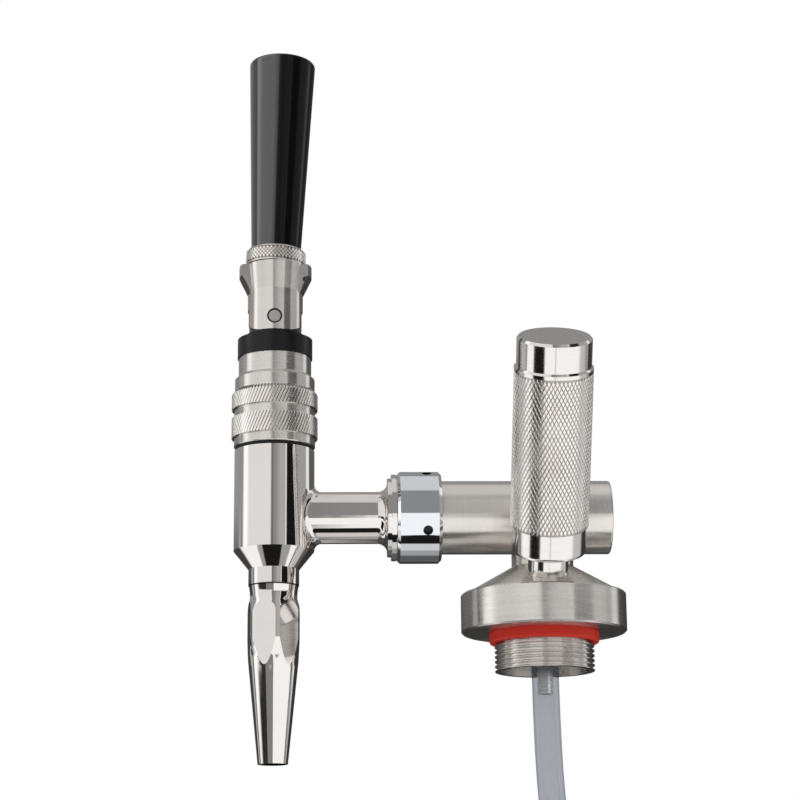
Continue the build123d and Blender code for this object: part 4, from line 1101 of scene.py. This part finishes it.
class TAP_OT_finishes(Operator):
    """Give every CAD piece its finish"""

    bl_idname = "tap.finishes"
    bl_label = "Finishes"

    def execute(self, context):
        colours = context.scene.tap_colours
        along_x = (0.0, math.radians(90), 0.0)
        cap_axis = (0.0, 0.0, 0.0)
        shank_axis = (0.0, 0.0, SHANK_Z)
        faucet_axis = (FAUCET_X, 0.0, 0.0)
        port_lean = PORT_TURN.to_euler()
        along_y = (math.radians(90), 0.0, 0.0)
        nut_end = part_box("coupling_nut")[1].x
        neck_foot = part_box("faucet_body")[0].z
        pin_place = Vector(joint_named("lever_tilt")["pos_m"])
        inner = turned_metal("machined steel", colours.steel, (0.22, 0.34), cap_axis, density=2600.0)
        black_seal = moulded("seal rubber", colours.rubber, (0.4, 0.6), specular=0.2)
        acetal = moulded("white acetal", colours.acetal, (0.35, 0.5))
        mirror = add_joint_line(
            polished_metal("mirror faucet", colours.mirror, (0.035, 0.075)), neck_foot, 0.22 * MM
        )
        chrome = polished_metal("chrome nut", colours.chrome, (0.03, 0.06), ripple=0.008)
        yoke = turned_metal(
            "satin yoke", colours.steel, (0.2, 0.28), faucet_axis,
            density=5200.0, depth=0.0015, spread=0.2, stretch=0.85,
        )
        finishes = {
            "keg_cap": turned_metal(
                "brushed keg cap", colours.steel, (0.22, 0.33), cap_axis,
                density=3400.0, depth=0.006, stretch=0.9,
            ),
            "keg_gasket": moulded("red silicone", colours.silicone, (0.34, 0.5), grain=1400.0, specular=0.25),
            "shank_tube": turned_metal(
                "brushed shank", colours.steel, (0.26, 0.34), shank_axis, along_x,
                density=4200.0, depth=0.001, spread=0.2, stretch=0.92,
            ),
            "shank_end_plug": turned_metal(
                "brushed end plug", colours.steel, (0.2, 0.3), shank_axis, along_x, density=4200.0, depth=0.002
            ),
            "gas_port": turned_metal(
                "polished gas port", colours.mirror, (0.1, 0.17), PORT_PLACE, port_lean,
                density=5200.0, depth=0.0016, spread=0.25,
            ),
            # Painted shade, nearly black, in the nut's inner groove
            "coupling_nut": paint_recess_shade(
                chrome, (nut_end - 5.5 * MM, 0.0, SHANK_Z), along_x,
                crest=17.45 * MM, root=17.2 * MM, share=0.97, level=0.0, half=1.95 * MM,
            ),
            "faucet_body": mirror,
            "cam_ring": moulded("satin black cam ring", colours.cam_ring, (0.26, 0.38), specular=0.3),
            "nozzle": add_joint_line(
                polished_metal("mirror nozzle", colours.mirror, (0.035, 0.075)), neck_foot, 0.34 * MM
            ),
            "plunger_shaft": turned_metal("plunger steel", colours.steel, (0.18, 0.28), faucet_axis),
            # Painted shade round the pivot pin's recess in the yoke
            "lever_yoke": paint_recess_shade(yoke, pin_place, along_y, crest=3.0 * MM, root=2.85 * MM, share=0.9),
            "pivot_pin": polished_metal("pivot steel", colours.steel, (0.22, 0.34)),
            # The handle gets painted sheen on its -X side
            "handle": paint_side_sheen(
                moulded("gloss black handle", colours.handle, (0.1, 0.18), grain=420.0, depth=0.0015)
            ),
            "handle_insert": turned_metal("machined brass", colours.brass, (0.2, 0.3), faucet_axis),
            "dip_tube": bpy.data.materials["translucent hose"],
            "return_spring": bpy.data.materials["spring wire"],
        }
        shared = {
            inner: (
                "liquid_barb", "shank_nose", "pierce_needle", "gas_cartridge", "restrictor_disc", "seal_screw",
                "retaining_clip", "spring_washer", "handle_stud", "cartridge_sleeve", "bonnet", "lock_ring",
            ),
            black_seal: (
                "shank_washer", "gas_seal", "gas_check_valve", "bonnet_gasket", "plunger_o_ring",
                "nozzle_o_ring", "valve_seal",
            ),
            acetal: ("plunger_guide", "flow_straightener"),
        }
        for finish, nodes in shared.items():
            finishes.update(dict.fromkeys(nodes, finish))
        for node, finish in finishes.items():
            give_finish(frame["nodes"][node], finish)
        return {"FINISHED"}


class TAP_PT_panel(Panel):
    """Sidebar panel that lists the steps"""

    bl_idname = "TAP_PT_panel"
    bl_label = "Nitro Coffee Tap"
    bl_space_type = "VIEW_3D"
    bl_region_type = "UI"
    bl_category = "Tap"

    def draw(self, context):
        for step in STEPS:
            self.layout.operator(step.bl_idname)
        for settings in (context.scene.tap_sizes, context.scene.tap_colours):
            box = self.layout.box()
            for name in settings.bl_rna.properties.keys():
                if name not in {"rna_type", "name"}:
                    box.prop(settings, name)


STEPS = (
    TAP_OT_stage,
    TAP_OT_hose,
    TAP_OT_sleeve,
    TAP_OT_bonnet,
    TAP_OT_lock_ring,
    TAP_OT_spring,
    TAP_OT_finishes,
)
CLASSES = (TapSizes, TapColours, *STEPS, TAP_PT_panel)


def register():
    """Register the classes and their settings."""
    for cls in CLASSES:
        bpy.utils.register_class(cls)
    bpy.types.Scene.tap_sizes = PointerProperty(type=TapSizes)
    bpy.types.Scene.tap_colours = PointerProperty(type=TapColours)


def unregister():
    """Remove the settings and the classes."""
    del bpy.types.Scene.tap_colours
    del bpy.types.Scene.tap_sizes
    for cls in reversed(CLASSES):
        bpy.utils.unregister_class(cls)


def main():
    """Run every step in order."""
    register()
    for step in STEPS:
        group, name = step.bl_idname.split(".")
        getattr(getattr(bpy.ops, group), name)()


if __name__ == "__main__":
    main()
